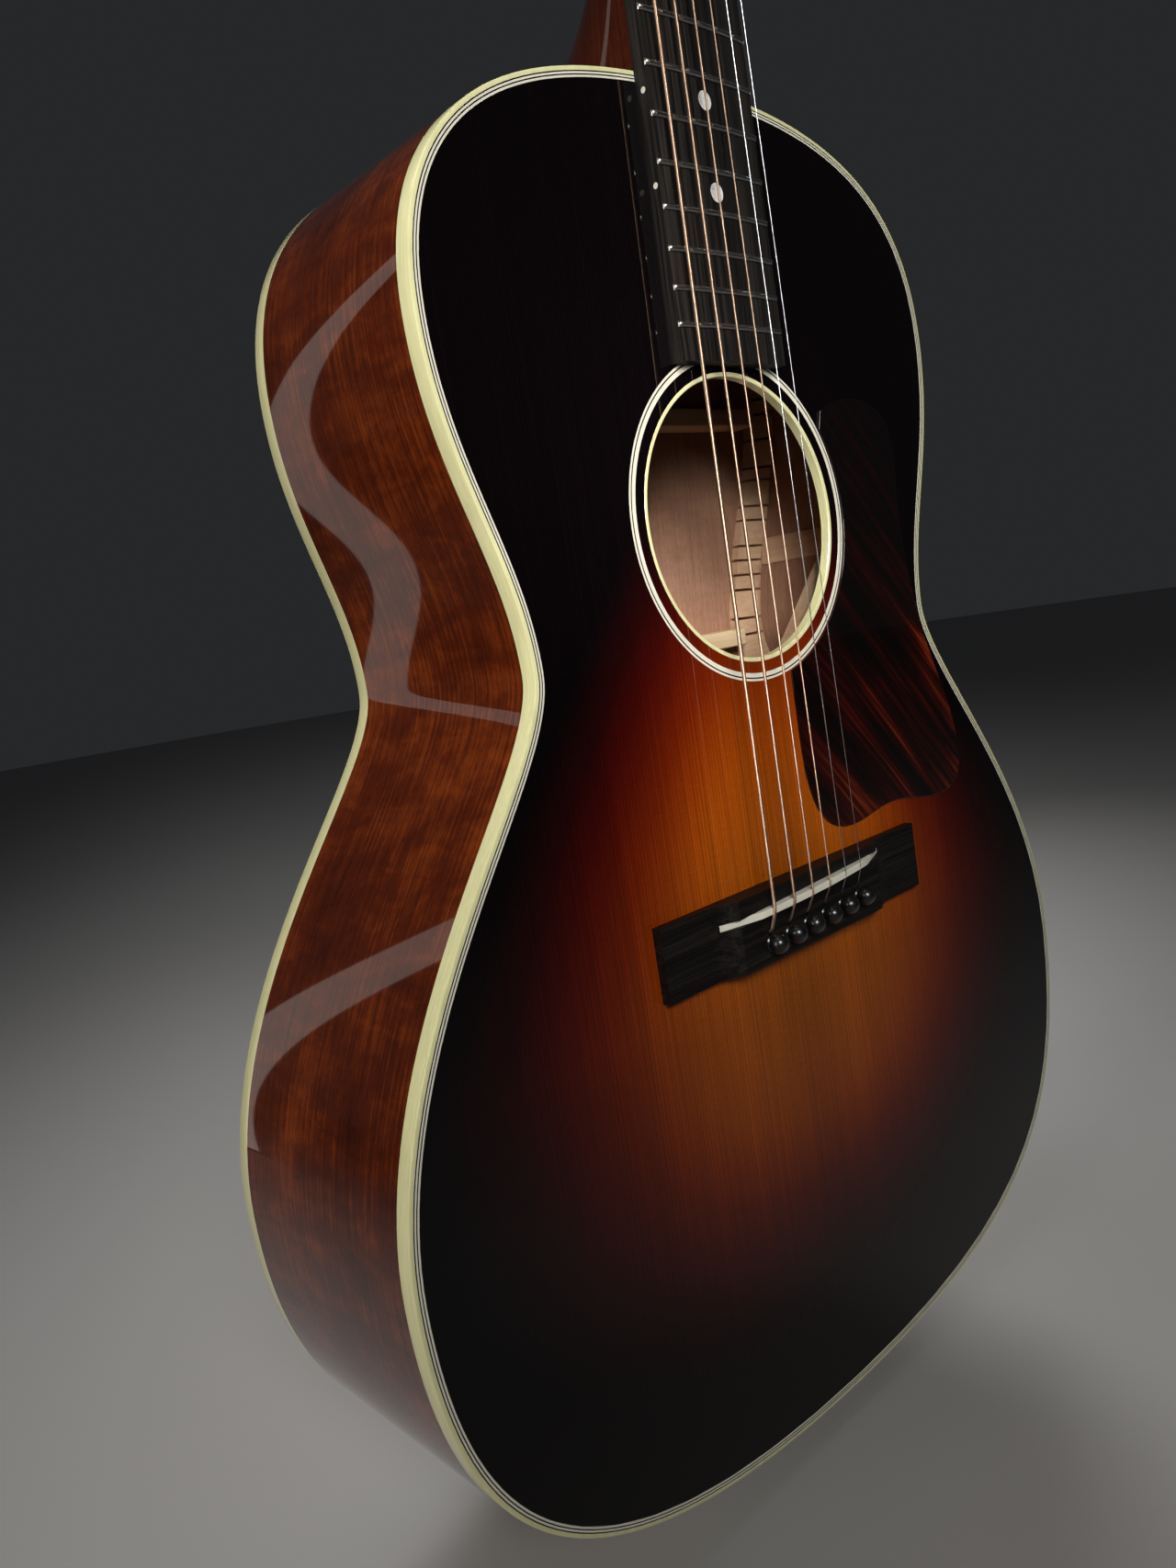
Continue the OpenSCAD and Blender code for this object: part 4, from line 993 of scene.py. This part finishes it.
def string_bm(numbers):
    bm = bmesh.new()
    for s in numbers:
        add_wire(bm, rounded(route(s)), DIAMETERS[s - 1] / 2, 10)
        px, ball = across(s, 54.6), 1.9
        pin = PIN_Z + px * SLANT
        ring = [(px + side * 1.7, FACE + TOP_T + 5.2, pin + 2.4 + ball + 0.2) for side in (-1, 1)]
        add_rows(bm, tube_rows(ring, ball, 16))
    return bm


finish_piece("wound_wires", string_bm(range(3, 7)), [BRONZE], stands_for=["wound_strings"],
             slot="bronze_wound", sharp=70)
finish_piece("plain_wires", string_bm((1, 2)), [STEEL], stands_for=["plain_strings"],
             slot="plain_steel", sharp=70)
print("six strings on")

# %% [markdown]
# ## Tuners
# Each tuner is a worm on the key's shaft that turns a 14-tooth wheel on the string post. The post, its
# wheel and the turns of wire ride on the post's body; the shaft, worm and cream button on the key's.
# Shafts are turned, the worm is a thread swept round its shaft, and the button is a coarse cage that
# Subdivision Surface rounds, because a pressed button has no straight lines.

# %% Places on the head
PLATE_T, WORM_R, WORM_GAP, WORM_OFF = 1.2, 2.9, 0.3, 7.5
WORM_V = HEAD_T + PLATE_T + WORM_R + WORM_GAP
HEAD_OUT = Vector((0, -math.cos(TILT), math.sin(TILT)))
HEAD_UP = Vector((0, math.sin(TILT), math.cos(TILT)))
ACROSS = Vector((1, 0, 0))
BUSHING_T, POST_STANDS = 1, 11
POST_TOP = VENEER + BUSHING_T + POST_STANDS
POST_LOW = -WORM_V - 2.9


def round_post(foot, r, a, out):
    """A point about a post: r from its axis, turned by a, out along it from the head's face."""
    return foot + r * (math.cos(a) * ACROSS + math.sin(a) * HEAD_UP) + HEAD_OUT * out


print("worms lie", round(WORM_V, 1), "mm behind the head's face")


# %% String posts: shaft, turns of wire and wheel
TEETH, TOOTH = 14, ((4.3, -6.6), (5.55, -2.3), (5.55, 2.3), (4.3, 6.6))
TURNS, PER_TURN = 4, 20


def post_pieces(s):
    body, d, side = f"post_{s}", DIAMETERS[s - 1], post_side(s)
    foot = Vector(from_head(side * POST_X, 0, post_u(s)))
    shaft = [(0.0, POST_TOP), (2.2, POST_TOP), (2.75, POST_TOP - 0.25), (3.0, POST_TOP - 0.9),
             (3.0, POST_TOP - 5.6), (2.75, POST_TOP - 6.4), (2.75, VENEER + 1.2), (3.0, VENEER + 0.9),
             (3.0, POST_LOW), (0.0, POST_LOW)]
    turned(f"post_{s}_shaft", shaft, NICKEL, body=body, steps=32, at=foot, axis=HEAD_OUT,
           stands_for=[f"tuner_post_{s}"], slot="tuner_nickel")

    start = math.pi if side > 0 else 0.0
    coil = []
    for i in range(TURNS * PER_TURN + 1):
        up = VENEER + 1.4 + d / 2 + d * (TURNS - 1) * i / (TURNS * PER_TURN)
        coil.append(round_post(foot, 2.78 + d / 2, start + side * 2 * math.pi * i / PER_TURN, up))
    bm = bmesh.new()
    add_wire(bm, coil, d / 2, 8)
    wire, slot = (BRONZE, "bronze_wound") if s > 2 else (STEEL, "plain_steel")
    finish_piece(f"post_{s}_turns", bm, [wire], body, slot=slot, sharp=60)

    corners = [(r, math.radians(90 + (i + 0.5) * 360 / TEETH + off)) for i in range(TEETH)
               for r, off in TOOTH]
    bm = bmesh.new()
    add_rows(bm, [[round_post(foot, r, a, h - WORM_V) for r, a in corners] for h in (1.9, -1.9)])
    wheel = finish_piece(f"post_{s}_wheel", bm, [BRASS], body, slot="tuner_nickel", sharp=20)
    soft_edge(wheel, 0.2, 2, angle=50)


print("wheels have", TEETH, "teeth")


# %% Keys: shaft, worm and button
WORM_PITCH = 2 * math.pi * 5 / TEETH
WORM_TURNS, WORM_STEPS = 4, 22
THREAD = ((1.6, -0.5), (WORM_R, -0.2), (WORM_R, 0.2), (1.6, 0.5))
KEY_ROD = [(0.0, 22.0), (1.2, 22.0), (1.8, 21.0), (1.8, 17.8), (3.0, 17.4), (3.1, 16.4), (2.4, 15.6),
           (2.9, 14.8), (2.4, 14.2), (1.8, 13.8), (1.8, -7.2), (1.5, -7.7), (0.0, -7.7)]
BUTTON_OUT = 24.5
BUTTON_CAGE = [(-8.2, 2.6, 2.0), (-7.6, 4.4, 2.6), (-5.2, 7.4, 3.0), (0.0, 8.9, 3.5), (5.0, 7.6, 3.2),
               (7.7, 4.4, 2.5), (8.3, 1.6, 1.2)]


def key_pieces(s):
    sign, body = post_side(s), f"key_{s}"
    centre = Vector(from_head(sign * POST_X, WORM_V, post_u(s) + WORM_OFF))
    out = sign * ACROSS
    turned(f"key_{s}_shaft", KEY_ROD, NICKEL, body=body, steps=28, at=centre, axis=out,
           slot="tuner_nickel")

    rows = []
    for i in range(WORM_TURNS * WORM_STEPS + 1):
        a = 2 * math.pi * i / WORM_STEPS - math.pi / 2
        x = (i / WORM_STEPS - WORM_TURNS / 2) * WORM_PITCH
        rows.append([centre + Vector((x + off, r * math.cos(a), r * math.sin(a))) for r, off in THREAD])
    bm = bmesh.new()
    add_rows(bm, rows)
    finish_piece(f"key_{s}_worm", bm, [NICKEL], body, slot="tuner_nickel", sharp=25)

    circle = [(math.cos(2 * math.pi * k / 12), math.sin(2 * math.pi * k / 12)) for k in range(12)]
    bm = bmesh.new()
    add_rows(bm, [[centre + out * (BUTTON_OUT + along) + Vector((0, thick * b, wide * a)) for a, b in circle]
                  for along, wide, thick in BUTTON_CAGE])
    button = finish_piece(f"key_{s}_button", bm, [BUTTON], body,
                          stands_for=[f"tuner_key_{s}"], slot="key_cream", sharp=180)
    smooth = button.modifiers.new("smooth", "SUBSURF")
    smooth.levels = smooth.render_levels = 2


for s in range(1, 7):
    post_pieces(s)
    key_pieces(s)
print("six tuners built")

# %% [markdown]
# ## Pieces that keep the frame's own shape
# The rest of the frame already has the right shape. Each node gets its finish, and where a maker
# would break the sharp edges with a file, the loose triangles are welded and bevelled by live
# modifiers, which leave the frame's own mesh as it was.

# %% Dress the nodes
def dress(node, material, soften=0.0):
    piece = NODES[node]
    mesh = piece.data
    mesh.materials.clear()
    mesh.materials.append(material)
    if soften:
        weld = piece.modifiers.new("weld", "WELD")
        weld.merge_threshold = 2 * WELD
        soft_edge(piece, soften)
        mesh.shade_smooth()


# the X-braces take the darker copy of the spruce, which is painted shade
for node, material, soften in (
        ("soundboard", SUNBURST, 0), ("fingerboard", EBONY, 0.2), ("bridge", EBONY_BRIDGE, 0.35),
        ("saddle", BONE, 0.3), ("nut", BONE, 0.12), ("inlay_dots", PEARL, 0), ("side_dots", WHITE_LINE, 0),
        ("head_veneer", BLACK, 0.15), ("truss_rod_cover", BLACK, 0.3), ("truss_rod_nut", BRASS, 0.2),
        ("truss_rod", STEEL, 0), ("heel_cap", IVOROID, 0.3), ("tuner_plates", NICKEL, 0.15),
        ("tuner_bushings", NICKEL, 0.2), ("small_screws", NICKEL, 0), ("x_brace_a", PAINTED_SHADE_BRACE, 0.8),
        ("x_brace_b", PAINTED_SHADE_BRACE, 0.8), ("tone_bars", BRACE, 0.8), ("finger_braces", BRACE, 0.8),
        ("transverse_brace", BRACE, 0.8), ("back_braces", BRACE, 1.0), ("back_strip", BRACE, 0.3),
        ("bridge_plate", BLOCK, 0.3), ("side_strips", LINING, 0.2), ("neck_block", BLOCK, 0.5),
        ("tail_block", BLOCK, 0.5)):
    dress(node, material, soften)
print("nodes dressed")

# %% [markdown]
# ## Stage, camera and light
# A plain pale floor, soft light from large panels, and the camera low to the bass side so that the
# sides run away from it. The tall panel behind on the bass side draws the long highlights along the
# glossy mahogany.

# %% Floor
FLOOR_Z = cad_box[0][2] - 1.5 * MM
bm = bmesh.new()
bmesh.ops.create_circle(bm, cap_ends=True, segments=96, radius=7.0)
bm.transform(Matrix.Translation((0, 0, FLOOR_Z)))
floor_mesh = to_mesh(bm, "floor", False)
floor = bpy.data.objects.new("floor", floor_mesh)
bpy.context.scene.collection.objects.link(floor)
floor_finish = Finish("floor paint", base_color=(0.46, 0.455, 0.45, 1), roughness=0.75)
floor_mesh.materials.append(floor_finish.material)
print("floor at", round(FLOOR_Z / MM, 1), "mm")

# %% Camera
camera_data = bpy.data.cameras.new("camera")
camera_data.sensor_fit, camera_data.sensor_height = "VERTICAL", 36.0
camera_data.lens = 26.39
camera_data.clip_start = 0.01
camera = bpy.data.objects.new("camera", camera_data)
ahead = Vector((0.65457, 0.74308, -0.13921)).normalized()
right = Vector((0.72695, -0.66920, -0.15397)).normalized()
above = right.cross(ahead)
turn = Matrix((right, above, -ahead)).transposed().to_4x4()
camera.matrix_world = Matrix.Translation((-0.33114, -0.32388, 0.31476)) @ turn
bpy.context.scene.collection.objects.link(camera)
bpy.context.scene.camera = camera
print("camera lens", camera_data.lens, "mm")


# %% Lights
def panel(name, at, aim, size, power, colour=(1, 1, 1), spread=180, roll=0.0):
    data = bpy.data.lights.new(name, "AREA")
    data.shape, data.size, data.size_y = "RECTANGLE", size[0], size[1]
    data.energy, data.color, data.spread = power, colour, math.radians(spread)
    lamp = bpy.data.objects.new(name, data)
    spot = Vector(at)
    facing = (Vector(aim) - spot).to_track_quat("-Z", "Y").to_matrix().to_4x4()
    lamp.matrix_world = Matrix.Translation(spot) @ facing @ Matrix.Rotation(math.radians(roll), 4, "Z")
    bpy.context.scene.collection.objects.link(lamp)
    lamp.visible_camera = False


panel("key panel", (-0.6, -1.0, 0.9), (-0.03, 0, 0.385), (0.45, 0.4), 0.86, (1.0, 0.98, 0.93), spread=42)
panel("top panel", (-0.5, 0.3, 2.0), (0, 0, 0.26), (1.2, 1.2), 1.6, spread=90)
panel("tall strip", (-0.538, 0.683, 0.62), (-0.15, 0, 0.6), (0.046, 1.25), 0.135, (1.0, 0.88, 0.80),
      roll=-2.2)
panel("side fill", (-1.3, 0.0, 0.55), (-0.15, 0, 0.3), (0.5, 0.8), 0.6, (1.0, 0.93, 0.84), spread=56)
panel("hole light", (-0.33, -0.42, 0.46), (0.02, 0, 0.335), (0.1, 0.1), 0.055, (1.0, 0.95, 0.9), spread=26)
panel("back light", (1.45, 0.95, 0.9), (0, 0.05, 0.45), (0.8, 0.8), 3.0, (1.0, 0.98, 0.96), spread=56)
panel("head light", (-0.9, -1.4, 1.6), (0, 0, 0.92), (0.8, 0.8), 1.0, spread=34)
world = bpy.data.worlds.new("studio")
world.use_nodes = True
sky = world.node_tree.nodes["Background"].inputs
sky["Color"].default_value, sky["Strength"].default_value = (0.9, 0.93, 1.0, 1), 0.022
bpy.context.scene.world = world
bpy.context.scene.view_settings.view_transform = "Standard"
print("seven panels hung")

# %% [markdown]
# ## Finish
# The size of the frame is printed.

# %% Print the frame's size
print("CAD box", [[round(c, 4) for c in p] for p in cad_box])
